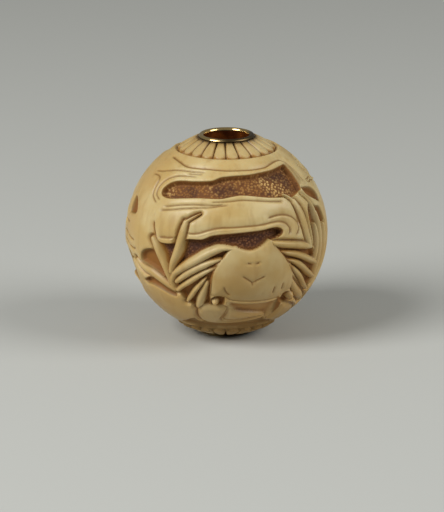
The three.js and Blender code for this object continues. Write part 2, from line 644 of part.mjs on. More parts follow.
// Corners under the rim, down the middle and both sides of each petal, round its tip, and round the lip
function collarCorners() {
  const found = [];
  const add = (along, turn) => {
    const slant = (petalSlantShare * (collarReach - along)) / collarReach;
    const longitude = (360 * (turn - slant)) / petalCount;
    const latitude = 90 - THREE.MathUtils.radToDeg(along / ballRadius);
    for (const side of [1, -1]) {
      found.push(direction([longitude, side * latitude]).multiplyScalar(ballRadius));
    }
  };
  for (let petal = 0; petal < petalCount; petal += 1) {
    add(boreRadius, petal);
    add(boreRadius, petal + 0.5);
    for (const share of petalStationShares) {
      const along = THREE.MathUtils.lerp(seatRadius, collarReach, share);
      for (const across of [0, 0.5 - petalShoulderShare, 0.5, 0.5 + petalShoulderShare]) {
        add(along, petal + across);
      }
    }
    for (const across of [0, 0.25, 0.5, 0.75]) add(collarReach, petal + across);
    for (const across of [0, 0.5]) add(collarReach + collarLip, petal + across);
  }
  return found;
}

const halfTurn = new THREE.Quaternion().setFromAxisAngle(direction(farSideAxis), Math.PI);

// The left flank alone has this hollow: its like on the far side would lie in the picture's plain
const flankTool = sink(flankHollow, pitDepth, pitWall);

function carvedRadius(point) {
  let depth = flankTool.cut(point, bandDepth);
  for (const side of [point.clone().applyQuaternion(halfTurn), point]) {
    for (const { cut } of tools) depth = cut(side, depth);
  }
  return ballRadius - collar(point, depth);
}

// The corners that the cuts need, ridges before sides and the last cut's first, where no later cut
// covers them and none is near
function corners() {
  const kept = [];
  const keep = (point, least) => {
    if (kept.every((other) => other.distanceToSquared(point) > least ** 2)) kept.push(point);
  };
  const alongFromPole = (point) => ballRadius * Math.acos(Math.abs(point.z) / ballRadius);
  const inCollar = (point) => alongFromPole(point) < collarReach + cornerGap;
  collarCorners().forEach((point) => keep(point, cornerGap / 2));
  const marks = [flankTool, ...tools].flatMap((tool) => tool.marks);
  const keepOpen = (points, later) => {
    for (const point of points.filter((p) => !inCollar(p) && !later.some(({ covers }) => covers(p)))) {
      const across = point.clone().applyQuaternion(halfTurn);
      keep(point, cornerGap);
      if (!marks.some(({ covers }) => covers(across))) keep(across, cornerGap);
    }
  };
  for (let i = marks.length - 1; i >= 0; i -= 1) keepOpen(marks[i].ridges, marks.slice(i + 1));
  for (let i = marks.length - 1; i >= 0; i -= 1) keepOpen(marks[i].sides, marks.slice(i + 1));
  const plainBall = mergeVertices(bare(new THREE.IcosahedronGeometry(ballRadius, plainDetail)));
  const plain = plainBall.attributes.position;
  for (let i = 0; i < plain.count; i += 1) {
    const point = new THREE.Vector3().fromBufferAttribute(plain, i).setLength(ballRadius);
    if (!inCollar(point)) keep(point, plainGap);
  }
  return kept;
}

function bare(geometry) {
  geometry.deleteAttribute('normal');
  geometry.deleteAttribute('uv');
  return geometry;
}

// The carved ball: the corners are joined as the hull of a plain ball, then each is cut to its depth
function carvedBall() {
  const geometry = mergeVertices(bare(new ConvexGeometry(corners())));
  const position = geometry.attributes.position;
  const point = new THREE.Vector3();
  for (let i = 0; i < position.count; i += 1) {
    point.fromBufferAttribute(position, i).setLength(ballRadius);
    point.setLength(carvedRadius(point));
    position.setXYZ(i, point.x, point.y, point.z);
  }
  return geometry;
}

const wasm = await Module();
wasm.setup();

function solid(geometry) {
  const merged = mergeVertices(bare(geometry));
  return new wasm.Manifold(new wasm.Mesh({
    numProp: 3,
    vertProperties: new Float32Array(merged.attributes.position.array),
    triVerts: new Uint32Array(merged.index.array),
  }));
}

function geometryOf(manifold) {
  const mesh = manifold.getMesh();
  const geometry = new THREE.BufferGeometry();
  geometry.setAttribute('position', new THREE.BufferAttribute(mesh.vertProperties, 3));
  geometry.setIndex(new THREE.BufferAttribute(mesh.triVerts, 1));
  geometry.computeVertexNormals();
  return geometry;
}

// A closed profile of [radius, height] corners, turned round the hole's axis
function turned(profile) {
  const outline = profile.map(([radius, height]) => new THREE.Vector2(radius, height));
  if (THREE.ShapeUtils.isClockWise(outline)) outline.reverse();
  return new THREE.LatheGeometry([...outline, outline[0].clone()], turnSteps).rotateX(Math.PI / 2);
}

function beadBody() {
  const drill = turned([
    [0, -ballRadius - cutterOverrun],
    [boreRadius, -ballRadius - cutterOverrun],
    [boreRadius, ballRadius + cutterOverrun],
    [0, ballRadius + cutterOverrun],
  ]);
  const facing = ({ side, seat }) => turned([
    [0, side * seat],
    [seatRadius, side * seat],
    [seatRadius, side * (ballRadius + cutterOverrun)],
    [0, side * (ballRadius + cutterOverrun)],
  ]);
  const carved = solid(carvedBall()).subtract(solid(drill));
  return geometryOf(carved.subtract(solid(facing(upperEnd))).subtract(solid(facing(lowerEnd))));
}

function liningTube() {
  return turned([
    [holeRadius, -lowerEnd.seat],
    [liningRadius, -lowerEnd.seat],
    [liningRadius, upperEnd.seat],
    [holeRadius, upperEnd.seat],
  ]);
}

// The rim's section: flat foot on the ivory, round shoulders, and a narrow flat land at the top
function rim({ side, rimFoot }) {
  const shoulder = (rimWidth - rimLand) / 2;
  const profile = [[holeRadius, side * rimFoot], [rimRadius, side * rimFoot]];
  for (const [centre, from] of [[rimRadius - shoulder, 0], [holeRadius + shoulder, Math.PI / 2]]) {
    for (let step = 0; step <= rimArcSteps; step += 1) {
      const angle = from + (step / rimArcSteps) * (Math.PI / 2);
      const rise = rimHeight * Math.sin(angle);
      if (rise > 0) profile.push([centre + shoulder * Math.cos(angle), side * (rimFoot + rise)]);
    }
  }
  return turned(profile);
}

function piece(name, geometry, material) {
  const mesh = new THREE.Mesh(geometry, material);
  mesh.name = name;
  return mesh;
}

const bead = new THREE.Group();
bead.add(piece('bead_body', beadBody(), ivory));
bead.add(piece('lining_tube', liningTube(), brass));
bead.add(piece('upper_rim', rim(upperEnd), brass));
bead.add(piece('lower_rim', rim(lowerEnd), brass));
bead.position.z = lowerEnd.rimFoot + rimHeight;

export default bead;
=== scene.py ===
import math

import bmesh
import bpy
import numpy as np
from mathutils import Matrix, Vector, kdtree


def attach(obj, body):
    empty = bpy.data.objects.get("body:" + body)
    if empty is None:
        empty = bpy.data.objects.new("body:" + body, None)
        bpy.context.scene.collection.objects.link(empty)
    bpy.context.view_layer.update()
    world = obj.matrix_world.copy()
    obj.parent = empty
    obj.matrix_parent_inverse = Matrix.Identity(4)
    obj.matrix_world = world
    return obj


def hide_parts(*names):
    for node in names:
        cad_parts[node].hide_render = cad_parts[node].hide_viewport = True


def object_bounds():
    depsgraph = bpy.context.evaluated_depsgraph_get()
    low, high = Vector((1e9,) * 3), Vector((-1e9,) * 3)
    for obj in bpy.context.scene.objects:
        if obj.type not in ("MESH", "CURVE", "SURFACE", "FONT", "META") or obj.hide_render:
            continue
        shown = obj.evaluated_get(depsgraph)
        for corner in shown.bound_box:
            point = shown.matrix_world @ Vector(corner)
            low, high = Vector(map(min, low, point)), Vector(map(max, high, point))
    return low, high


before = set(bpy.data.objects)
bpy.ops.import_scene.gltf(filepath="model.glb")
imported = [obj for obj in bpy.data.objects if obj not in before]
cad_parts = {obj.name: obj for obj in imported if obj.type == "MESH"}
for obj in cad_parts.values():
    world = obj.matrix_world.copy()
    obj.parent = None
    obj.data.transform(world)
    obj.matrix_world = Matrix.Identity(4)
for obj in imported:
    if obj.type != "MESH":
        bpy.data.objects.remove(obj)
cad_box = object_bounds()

# The view. The photograph looks down on the bead a little from in front. The ball's middle stands at
# one of its pixels, and a millimetre there spans a known number of them.
PHOTO_WIDTH, PHOTO_HEIGHT = 444, 512
BALL_PIXEL = (226.5, 231.0)
PIXELS_PER_MM = 11.6
MM = 0.001
BALL_MIDDLE_HEIGHT = 8.8345 * MM
VIEW_ELEVATION = math.radians(15.5)
VIEW_DISTANCE = 0.3
SENSOR_WIDTH = 36.0
NEAREST_SEEN = 0.01

ball_centre = Vector((0, 0, cad_box[0][2] + BALL_MIDDLE_HEIGHT))
camera_data = bpy.data.cameras.new("camera")
camera = bpy.data.objects.new("camera", camera_data)
bpy.context.scene.collection.objects.link(camera)
bpy.context.scene.camera = camera
camera_data.sensor_width = SENSOR_WIDTH
camera_data.lens = PIXELS_PER_MM * VIEW_DISTANCE / MM * SENSOR_WIDTH / PHOTO_HEIGHT
camera_data.clip_start = NEAREST_SEEN
camera_data.shift_x = (PHOTO_WIDTH / 2 - BALL_PIXEL[0]) / PHOTO_HEIGHT
camera_data.shift_y = (BALL_PIXEL[1] - PHOTO_HEIGHT / 2) / PHOTO_HEIGHT
tilt = Matrix.Rotation(math.pi / 2 - VIEW_ELEVATION, 4, "X")
camera.matrix_world = Matrix.Translation(ball_centre) @ tilt @ Matrix.Translation((0, 0, VIEW_DISTANCE))
bpy.context.scene.view_settings.view_transform = "Standard"


# The stage: a wide pale matt floor under a plain sky of the same grey, one broad lamp above and to the
# left, and a weaker one from the right that fills the shade. A lamp has a place, a width and a power.
FLOOR_REACH = 0.6
WORLD_LIGHT = 0.35
LAMPS = (
    ("key", (-0.23, -0.15, 0.225), 0.2, 1.12),
    ("fill", (0.27, -0.08, 0.19), 0.2, 0.62),
)


class Socket:
    """One shader socket. Sums on it add Math nodes, and its other methods add the rest of a material."""

    def __init__(self, tree, socket):
        self.tree = tree
        self.socket = socket

    def node(self, kind, settings=None, **values):
        """A new node. Its sockets go by name, with _ for a space, or by number, as _0."""
        made = self.tree.nodes.new(kind)
        for name, value in (settings or {}).items():
            setattr(made, name, value)
        for name, value in values.items():
            target = made.inputs[int(name[1:])] if name[0] == "_" else made.inputs[name.replace("_", " ")]
            if isinstance(value, Socket):
                self.tree.links.new(value.socket, target)
            else:
                target.default_value = value
        return made

    def out(self, kind, output, settings=None, **values):
        return Socket(self.tree, self.node(kind, settings, **values).outputs[output])

    def maths(self, operation, first, second):
        return self.out("ShaderNodeMath", 0, {"operation": operation}, _0=first, _1=second)

    def __add__(self, other):
        return self.maths("ADD", self, other)

    def __sub__(self, other):
        return self.maths("SUBTRACT", self, other)

    def __mul__(self, other):
        return self.maths("MULTIPLY", self, other)

    __radd__ = __add__
    __rmul__ = __mul__

    def __rsub__(self, other):
        return self.maths("SUBTRACT", other, self)

    def stretched(self, by):
        return self.out("ShaderNodeVectorMath", 0, {"operation": "MULTIPLY"}, _0=self, _1=by)

    def from_axis(self):
        flat = self.stretched((1, 1, 0))
        return flat.out("ShaderNodeVectorMath", "Value", {"operation": "LENGTH"}, _0=flat)

    def along(self, axis):
        return self.out("ShaderNodeSeparateXYZ", axis, Vector=self)

    def noise(self, scale, detail):
        return self.out("ShaderNodeTexNoise", 0, Vector=self, Scale=scale, Detail=detail)

    def attribute(self, name):
        return self.out("ShaderNodeAttribute", "Fac", {"attribute_name": name})

    def between(self, start, end):
        return self.out("ShaderNodeMapRange", 0, {"interpolation_type": "SMOOTHSTEP"},
                        Value=self, From_Min=start, From_Max=end)

    def mix(self, first, second):
        return self.out("ShaderNodeMix", 2, {"data_type": "RGBA"}, _0=self, _6=first, _7=second)


def new_material(name):
    """A material with its shader and the place on the object, which its patterns follow."""
    material = bpy.data.materials.new(name)
    material.use_nodes = True
    tree = material.node_tree
    place = Socket(tree, None).out("ShaderNodeTexCoord", "Object")
    return material, tree.nodes["Principled BSDF"], place


def feed(shader, name, value):
    if isinstance(value, Socket):
        value.tree.links.new(value.socket, shader.inputs[name])
    else:
        shader.inputs[name].default_value = value


def srgb(red, green, blue):
    shares = [channel / 255 for channel in (red, green, blue)]
    return [c / 12.92 if c <= 0.04045 else ((c + 0.055) / 1.055) ** 2.4 for c in shares] + [1.0]


FLOOR_COLOUR = srgb(186, 187, 182)

floor_bmesh = bmesh.new()
bmesh.ops.create_grid(floor_bmesh, x_segments=1, y_segments=1, size=FLOOR_REACH)
floor_mesh = bpy.data.meshes.new("floor")
floor_bmesh.to_mesh(floor_mesh)
floor_bmesh.free()
floor = bpy.data.objects.new("floor", floor_mesh)
bpy.context.scene.collection.objects.link(floor)
pale_floor, floor_shader, _ = new_material("pale_floor")
feed(floor_shader, "Base Color", FLOOR_COLOUR)
feed(floor_shader, "Roughness", 0.9)
floor_mesh.materials.append(pale_floor)

world = bpy.data.worlds.new("studio")
world.use_nodes = True
world.node_tree.nodes["Background"].inputs["Color"].default_value = FLOOR_COLOUR
world.node_tree.nodes["Background"].inputs["Strength"].default_value = WORLD_LIGHT
bpy.context.scene.world = world

for lamp_name, lamp_place, lamp_width, lamp_power in LAMPS:
    lamp_data = bpy.data.lights.new(lamp_name, "AREA")
    lamp_data.shape = "DISK"
    lamp_data.size = lamp_width
    lamp_data.energy = lamp_power
    lamp = bpy.data.objects.new(lamp_name, lamp_data)
    bpy.context.scene.collection.objects.link(lamp)
    towards = ball_centre - Vector(lamp_place)
    lamp.matrix_world = Matrix.Translation(lamp_place) @ towards.to_track_quat("-Z", "Y").to_matrix().to_4x4()


# The body: one ball of old ivory, turned, drilled through and carved in low relief with crabs among
# waves. All sizes here are millimetres, and the carving is cut down from the turned ball.
BALL_RADIUS = 8.75
ONE_DEGREE = math.radians(1) * BALL_RADIUS
BAND_DEPTH = 0.04
LIP_FALL = 0.07
LIP_WIDTH = 0.26

# Sunken places: how far down each goes, and how wide its walls slope.
UPPER_GROUND_DEPTH = 0.6
LOWER_GROUND_DEPTH = 0.8
LEG_FIELD_DEPTH = 0.62
PIT_DEPTH = 0.55
WEDGE_DEPTH = 0.42
FACE_DEPTH = 0.62
SOCKET_DEPTH = 0.6
FOOT_GROUND_DEPTH = 0.45
GROUND_WALL = 0.2
PIT_WALL = 0.45
FACE_WALL = 1.15
SOCKET_WALL = 0.28

# The brown stain, as a share of the upper ground's, and how it fades at a sunken or dark place's edge. Two
# of these levels paint shade with the same brown: on the strips along the ledges and on the lower petals'
# ends.
HOLLOW_STAIN, UPPER_STAIN, LOWER_STAIN = 0.5, 1.0, 1.4
# The third level here browns the strips along the ledges as painted shade.
FACE_STAIN, FOOT_STAIN, LEDGE_SHADE = 0.03, 0.22, 0.2
SHELL_STAIN, LIMB_STAIN = 0.09, 0.06
# The second level here browns the lower petals' outer ends as painted shade, where they face the floor.
PETAL_STAIN, LOWER_TIP_SHADE = 0.08, 0.32
LEDGE_STAIN, LINE_STAIN = 0.34, 0.22
STAIN_WALL_SHARE = 0.6
PATCH_FADE = 0.25
PATCH_LOWEST = 0.12

# The crab: its shell and claws have a rounded edge and a wall, and its limbs are round. A limb's skirt
# is counted in half widths and a plate's in walls. A small crab keeps more of its relief than of its width.
SHELL_EDGE = 0.24
SHELL_RISE = 1.8
CLAW_TOP = 0.06
CLAW_EDGE = 0.26
CLAW_RISE = 0.6
PLATE_WALL = 0.13
PLATE_ROUNDNESS = 1.5
PLATE_SKIRT = 1.6
LIMB_FALL = 0.42
LIMB_ROUNDNESS = 2.3
LIMB_SKIRT = 1.4
TRENCH_DEPTH = 0.4
TRENCH_WIDTH = 0.42
SMALL_RELIEF = 0.5

# Cut lines: a ledge slopes wide on one side, and every line runs out at its ends.
LEDGE_DEPTH = 0.17
LEDGE_WIDTH = 0.8
LINE_DEPTH = 0.13
LINE_WIDTH = 0.25
LINE_STAIN_WIDTH = 0.15
LINE_TAPER = 0.6
LINE_TAPER_SHARE = 0.25

# The collar of petals round each end of the hole, and the seat that is drilled there for the rim.
COLLAR_REACH = 4.55
COLLAR_LIP = 0.16
UPPER_COLLAR_STAND, UPPER_COLLAR_FALL = 0.05, 0.22
LOWER_COLLAR_STAND, LOWER_COLLAR_FALL = 0.2, 0.04
PETAL_COUNT = 22
PETAL_SLANT = 0.35
PETAL_CROWN = 0.05
PETAL_TIP = 0.45
PETAL_GROOVE_AT_RING, PETAL_GROOVE_AT_TIP = 0.34, 0.2
PETAL_EDGE = 0.17
BORE_RADIUS = 2.2
SEAT_RADIUS = 2.48
SEAT_TRIM = 0.025
UPPER_SEAT = math.sqrt((BALL_RADIUS + UPPER_COLLAR_STAND) ** 2 - SEAT_RADIUS ** 2) - SEAT_TRIM
LOWER_SEAT = math.sqrt((BALL_RADIUS + LOWER_COLLAR_STAND) ** 2 - SEAT_RADIUS ** 2) - SEAT_TRIM

# The grains of the stippled grounds: their spacing, how closely they pack and how far they stray.
STIPPLE_PITCH = 0.27
STIPPLE_PACKING = 0.87
STIPPLE_SCATTER = 0.28
STIPPLE_HEIGHT = 0.08
STIPPLE_RADIUS = 0.16
STIPPLE_ONSET = 0.1
STIPPLE_SEED = 7

# Places are [longitude, latitude] in degrees, longitude 0 towards -Y and growing towards +X.
# A third number is a half width in degrees, and a fourth the depth of a limb's top in millimetres.
UPPER_GROUND = [
    [-49.7, 34.7], [-48.5, 37], [-45.5, 39.8], [-41, 41.8], [-35, 42.8], [-27, 43.3], [-18, 44],
    [-11, 44.8], [-5, 47], [3, 47.9], [20, 48.3], [40, 49.2], [55, 50.4], [61.5, 50.2], [62.3, 46],
    [62, 38], [61, 33], [57, 32], [52, 30.8], [47, 30], [40, 31.2], [30, 32.3], [20, 34], [10, 35.2],
    [3, 34.4], [-5, 33.2], [-20, 33], [-30, 31.9], [-40, 30.5], [-46, 30.8], [-48.8, 32.2],
]
LOWER_GROUND = [
    [-44, 6.8], [-40, 5.7], [-35, 5.9], [-30, 7.2], [-24, 9.8], [-15, 10.4], [-12, 11.3], [-9, 12.6],
    [-4, 13.6], [5, 14.3], [20, 15.1], [27, 15.9], [31.5, 15.6], [34.4, 13.8], [34.2, 11.6], [31, 9.6],
    [27, 8.8], [24, 6], [18, 1], [12, -1], [0, -1], [-8, -3], [-18, -6], [-28, -9], [-34, -11.5],
    [-37.8, -11], [-40.6, -5], [-43, 1],
]
LEG_FIELDS = [
    [[4, 2], [-6, 5], [-14, 1], [-22, -4], [-30, -10.5], [-33, -16], [-32.5, -22], [-30, -26.5],
     [-27.5, -30], [-24, -33], [-20, -35.5], [-13, -34.5], [-9.5, -31], [-9, -24], [-8, -17], [-7, -12],
     [-4, -4]],
    [[24, 8.5], [31, 8.3], [40, 6.3], [50, 4], [57, 1.5], [62, -4], [68, -12], [69, -20], [66, -27],
     [60, -29], [55, -26.5], [50, -22.5], [46, -18.5], [43, -14], [40, -9], [36, -5], [31, 1]],
    [[58.5, 22], [62, 25], [66, 23.5], [70, 21.5], [76, 19], [79.5, 10], [79.5, -5], [77, -14],
     [72, -18.5], [69, -14], [65.5, -13.5], [62, -9.5], [59.5, -3], [58, 5], [57, 12], [57, 18]],
]
PITS = [
    [[-58.4, -4.5], [-55.5, -1.4], [-50.9, 0.6], [-46.5, 1.3], [-44.2, -1.6], [-41.5, -6], [-38.6, -11],
     [-37.6, -17], [-42.1, -15.2], [-48, -12.2], [-54, -11], [-58.4, -9.4]],
    [[-80, 24], [-76, 25.5], [-71, 23.5], [-67, 19], [-68.5, 15.5], [-76, 14], [-80, 15.5]],
    [[61, 34.3], [67, 34], [74, 32.2], [80, 28], [81.5, 22.5], [78, 20.5], [72, 23.4], [66, 26.5],
     [62, 30.3]],
]
FLANK_HOLLOW = [
    [-70, -8], [-76, -5.5], [-86, -5], [-94, -9], [-97, -18], [-95, -27], [-87, -33], [-77, -34],
    [-71, -31], [-69.5, -27.5], [-74, -25], [-80, -22.5], [-74, -20.5], [-69, -16],
]
WEDGES = [
    [[-60, -21.4], [-57, -19.2], [-53, -17.4], [-48, -18.4], [-43, -20.8], [-37, -23.6], [-33, -25],
     [-32.3, -27.2], [-35, -28], [-39, -27], [-43, -25.5], [-48, -24], [-53, -23.2], [-57, -23.4]],
]
SHELL_FACE = [
    [-2.6, -32.6], [-1, -29], [1.2, -25.8], [4, -26.9], [8, -27.7], [13, -28.3], [22, -28.9], [31, -28.8],
    [35, -27.8], [38.4, -28], [41.5, -33.5], [42, -39], [41, -46], [38, -51], [30, -52], [20, -51.3],
    [10, -50], [4, -47], [1.2, -42], [-0.6, -37],
]
SOCKETS = [
    [[-11.4, -31.3], [-10.6, -26.6], [-7.9, -24.9], [-4.5, -24.5], [-1, -24.9], [-0.4, -27.5],
     [-1.2, -31.2], [-4, -33], [-8.8, -33.2]],
    [[36.6, -29.6], [38.2, -26.4], [41.6, -25.3], [45.5, -25.8], [49.6, -29], [50.6, -32.6], [46.6, -35],
     [40.9, -34.4], [37, -32.4]],
]
FOOT_GROUND = [
    [-52, -56], [-46, -52.5], [-40, -50.5], [-36, -48.8], [-31, -46.3], [-26, -45], [-22, -48.5],
    [-10, -50.3], [0, -50.4], [10, -50], [20, -49], [28, -47.4], [34, -47], [38, -50], [44, -53],
    [52, -55.2], [62, -56.6], [70, -57.3], [70, -59], [40, -60], [0, -60], [-40, -59.5],
]
WAVE_END = [[-43.4, 5.8], [-44.6, 8.4], [-46, 11.4], [-47, 14.4], [-47.4, 17.6]]
LEDGES = [
    [[-70, 55], [-45, 52.8], [-35, 51.8], [-20, 52], [0, 51.4], [20, 51.2], [35, 51.4], [42, 52.3],
     [54, 53.8], [62, 53], [67, 49], [69, 42], [69.5, 35]],
    [[-43.5, 8.3], [-36, 8.9], [-30, 10], [-24, 12.8], [-19, 13], [-15, 13.9], [-11, 15.3], [-5, 16.8],
     [5, 17.3], [15, 17.6], [22, 17.9], [28, 18.6], [33, 18.5], [37, 17], [39.3, 14.2], [39, 11.6],
     [36.6, 9.6]],
    [[24, 20.6], [28, 21.6], [32, 22.1], [37, 21.8], [42, 20], [45.6, 16.8], [46.6, 13.4], [45, 10.4],
     [42, 8.6]],
    WAVE_END,
]
FINE_LINES = [
    [[-12, 31], [0, 31.8], [10, 32.5], [20, 31.6], [30, 30.2], [40.5, 28.8]],
    [[-44, 25.2], [-40, 26.1], [-30, 28.2], [-23, 29.1], [-8, 29.6], [0, 30.8]],
    [[-46, 22.8], [-44.7, 23], [-34.7, 25], [-30, 26], [-20, 27.4], [-11, 28.2], [-3, 29.4], [3, 29.9]],
    WAVE_END,
    [[-72, 43], [-62, 44.7], [-55, 46.4], [-46, 48.2], [-30, 49.1], [-16, 49.5]],
    [[-46, 28], [-52.3, 30.7], [-54, 35], [-51.3, 40.2], [-45, 43.8], [-37, 45.5], [-22, 46]],
    [[-72, 40.6], [-64, 41.6], [-58.5, 40], [-57.6, 34], [-55.5, 29.5], [-48, 25.6]],
    [[-36, 47.2], [-28, 47.7], [-18, 47.9]],
    [[-76, 2.9], [-70, 1.6], [-64, 1.3]],
    [[-74, -2.8], [-66, -3.6], [-62, -2]],
    [[-74, -10], [-68, -9.4], [-64, -10.5]],
    [[46.2, 27], [46.4, 22.5], [47, 18], [47.8, 13]],
]
SHELL_OUTLINE = [
    [14, 2.9], [12, 3.1], [9.8, 3.7], [7, 4.8], [5, 5.8], [3, 4.8], [0.4, 2.2], [-1.6, -0.6], [-3.4, -3],
    [-5, -5.6], [-6.6, -8.6], [-7.7, -12], [-8.3, -16], [-8.8, -20], [-9.2, -23.6], [-7.5, -24.7],
    [-4.5, -24.6], [-1.4, -24.4], [0.2, -25.8], [3.4, -27.6], [8, -28.5], [13, -29.1], [22, -29.7],
    [31, -29.6], [35.6, -28.6], [37.6, -26.4], [40.4, -25.2], [43.6, -24.2], [44.3, -20.6], [43.3, -16.6],
    [41.6, -12.8], [39.6, -9.2], [37, -5.4], [34.6, -2], [32, 1.2], [29.6, 4], [28.2, 6], [27, 8.2],
    [25.6, 8.6], [23.8, 7], [21.6, 5.5], [19.4, 4.2], [16.8, 3.3],
]
SHELL_GROOVES = [
    [[8.2, -9.9], [10.3, -11.7], [13, -13.6], [14.9, -15.4], [15.2, -18.6]],
    [[23.2, -11.2], [21, -12.4], [18.6, -13.4], [16.2, -14.6], [15.3, -16.4]],
    [[11.6, -3.4], [14.4, -3.8]],
    [[16.9, -3.8], [18.8, -3.4]],
    [[-1.4, -16.4], [-1, -19.4], [0.4, -22.3], [3.2, -24.8]],
    [[30.1, -18.6], [29.6, -22], [29.8, -25.2]],
    [[35.6, -17], [35.6, -20.5], [36.1, -23.8]],
]
CLAWS = [
    [[0.4, -34.3], [-1.8, -32.5], [-5.5, -32.4], [-10.1, -32.2], [-13.9, -32.2], [-17.9, -33.3],
     [-21.4, -37], [-23.1, -42.3], [-21.9, -47.3], [-16.9, -50.5], [-7.6, -51.5], [1.9, -51.6],
     [11.2, -51], [20.4, -49.8], [29.6, -48.2], [33.2, -45.9], [26.4, -46.4], [18.7, -47], [12, -48.1],
     [7.6, -48.7], [-1.2, -48.6], [-4.4, -47.2], [-4.6, -45.2], [-2.5, -41.9], [-0.9, -38.3]],
    [[2.2, -35.1], [5.9, -38.1], [11.8, -40.2], [17.5, -41.5], [23.5, -42.6], [29, -43.8], [31.8, -44.6],
     [26.2, -45.1], [18.6, -45.6], [10.2, -46.8], [6.8, -47.2], [1.5, -46.6], [-2.7, -45.1], [-1, -41.9],
     [0.6, -38.3]],
    [[43.4, -35.4], [49.2, -36], [56, -38.8], [64, -42], [72, -46], [75, -50], [71, -53.6], [64, -56],
     [56, -56.6], [49, -55.6], [43, -53.6], [38.6, -51.6], [36.6, -48.8], [38.6, -46], [40.4, -42.6],
     [41.6, -38.5]],
]
EYES = [[-7.4, -29.2, 2.1, -0.1], [46.4, -29.6, 2.4, -0.14]]
LIMBS = [
    [[-11.5, -16, 1.8, 0.3], [-14.2, -22, 2.6, 0.16], [-16.8, -28, 3.1, 0.1], [-19.3, -34, 2.7, 0.1]],
    [[-12, -13, 1, 0.36], [-14, -15, 1.3, 0.22], [-17, -18.7, 1.6, 0.1], [-20, -22.2, 1.7, 0.08],
     [-23, -26.3, 1.7, 0.08], [-26.2, -30, 1.4, 0.1]],
    [[-6.6, -6.4, 1.4, 0.38], [-12.4, -9.4, 1.9, 0.2], [-18, -13, 2.1, 0.12], [-23, -16.6, 2.1, 0.1],
     [-28, -20, 1.9, 0.08], [-31.5, -23, 1.6, 0.08]],
    [[-33.5, -22.6, 2.2, 0.07], [-38.5, -20.1, 2.7, 0.05], [-44, -17.4, 3, 0.04], [-50, -14.9, 3.1, 0.04],
     [-56, -13.8, 2.9, 0.04], [-60.5, -12.2, 2.5, 0.05], [-63.6, -9.6, 1.8, 0.06]],
    [[-3.2, -1.2, 1.3, 0.36], [-8.6, -3.1, 2.1, 0.2], [-14, -5.5, 2.5, 0.12], [-19.4, -8.5, 2.6, 0.1],
     [-25, -12.2, 2.4, 0.08], [-31, -17, 1.9, 0.07]],
    [[-35.2, -18.4, 2.4, 0.08], [-36.8, -12.6, 2.7, 0.06], [-38.8, -7.4, 2.9, 0.05],
     [-41.2, -2.7, 3, 0.05], [-43.8, 1.7, 3, 0.04], [-46.9, 6.4, 2.4, 0.05]],
    [[4.5, 4.9, 1.2, 0.26], [-1, 5.5, 1.9, 0.12], [-6, 4.5, 2.6, 0.07], [-12, 1.4, 2.8, 0.05],
     [-17, -1.9, 2.8, 0.04], [-22, -5.1, 2.8, 0.04], [-27, -8.3, 2.6, 0.04], [-32, -12, 2.3, 0.05]],
    [[-32, -12, 2.3, 0.05], [-34.5, -17, 2.3, 0.06], [-34, -22, 2.1, 0.07]],
    [[-24.6, 19.5, 1.3, 0.06], [-22, 21.3, 1.1, 0.05], [-19, 23.1, 0.9, 0.05], [-16.2, 24.6, 0.5, 0.06]],
    [[-34, -11, 2, 0.04], [-32.4, -5.5, 2.6, 0.02], [-30, 0, 2.9, 0.01], [-28.3, 5, 3, 0],
     [-27.1, 10, 2.9, 0], [-26, 15, 2.7, 0.01], [-25.2, 19, 2.1, 0.03]],
    [[43, -17.5, 1.6, 0.3], [46.5, -22.5, 2.6, 0.12], [51, -27, 3.1, 0.08], [57, -31, 3.2, 0.06],
     [64, -35, 3, 0.06], [70, -39, 2.4, 0.1]],
    [[41.5, -9, 1.1, 0.4], [44, -11.6, 1.7, 0.2], [48, -15.3, 2.1, 0.1], [52, -19, 2.2, 0.08],
     [57, -23.8, 2.1, 0.07], [65, -29, 1.7, 0.1]],
    [[38, -4.8, 1, 0.4], [42, -6.2, 1.5, 0.2], [47, -8.7, 2, 0.1], [52, -12, 2.1, 0.08],
     [58, -16.2, 2.1, 0.07], [68, -21.6, 1.8, 0.08]],
    [[69, -25.5, 1.7, 0.1], [74, -17.5, 2.3, 0.07], [77, -8, 2.5, 0.06], [77.8, 2, 2.3, 0.06],
     [77.4, 8, 1.6, 0.1]],
    [[34, 0.8, 1.2, 0.36], [38, -0.6, 1.8, 0.18], [43, -2, 2, 0.1], [48, -3.9, 2.1, 0.08],
     [54, -6.6, 2.1, 0.06], [64.6, -11.6, 1.9, 0.06]],
    [[67, -18.5, 1.8, 0.08], [68.8, -9, 2.3, 0.06], [69.4, 1, 2.5, 0.05], [69, 10, 2.4, 0.05],
     [67.2, 17.6, 1.9, 0.07]],
    [[66.6, 19, 1.5, 0.08], [65, 23.4, 1.3, 0.07], [61.8, 27.5, 1, 0.07], [57.8, 31, 0.6, 0.08]],
    [[62.6, -11, 1.8, 0.08], [63.8, -4.6, 2.1, 0.06], [64.4, 2, 2.2, 0.05], [64, 7.4, 1.9, 0.07],
     [63, 11.4, 1.3, 0.1]],
    [[25.5, 7.3, 1.4, 0.2], [30, 6.3, 2.2, 0.08], [35, 5.2, 2.5, 0.05], [41, 4, 2.6, 0.04],
     [47, 2.6, 2.6, 0.03], [53, 0.9, 2.4, 0.04], [57, -0.4, 1.8, 0.08]],
    [[48, 28.4, 1.6, 0.07], [45.2, 31, 1.2, 0.07], [41.6, 33.2, 0.6, 0.08]],
    [[56, 0.5, 2.2, 0.05], [54.6, 4.5, 2.8, 0.02], [53.3, 9, 3.1, 0.01], [52.6, 14, 3.3, 0.01],
     [51.8, 19, 3.4, 0.01], [50.6, 23.5, 3.1, 0.02], [48.6, 28, 2.2, 0.04]],
]
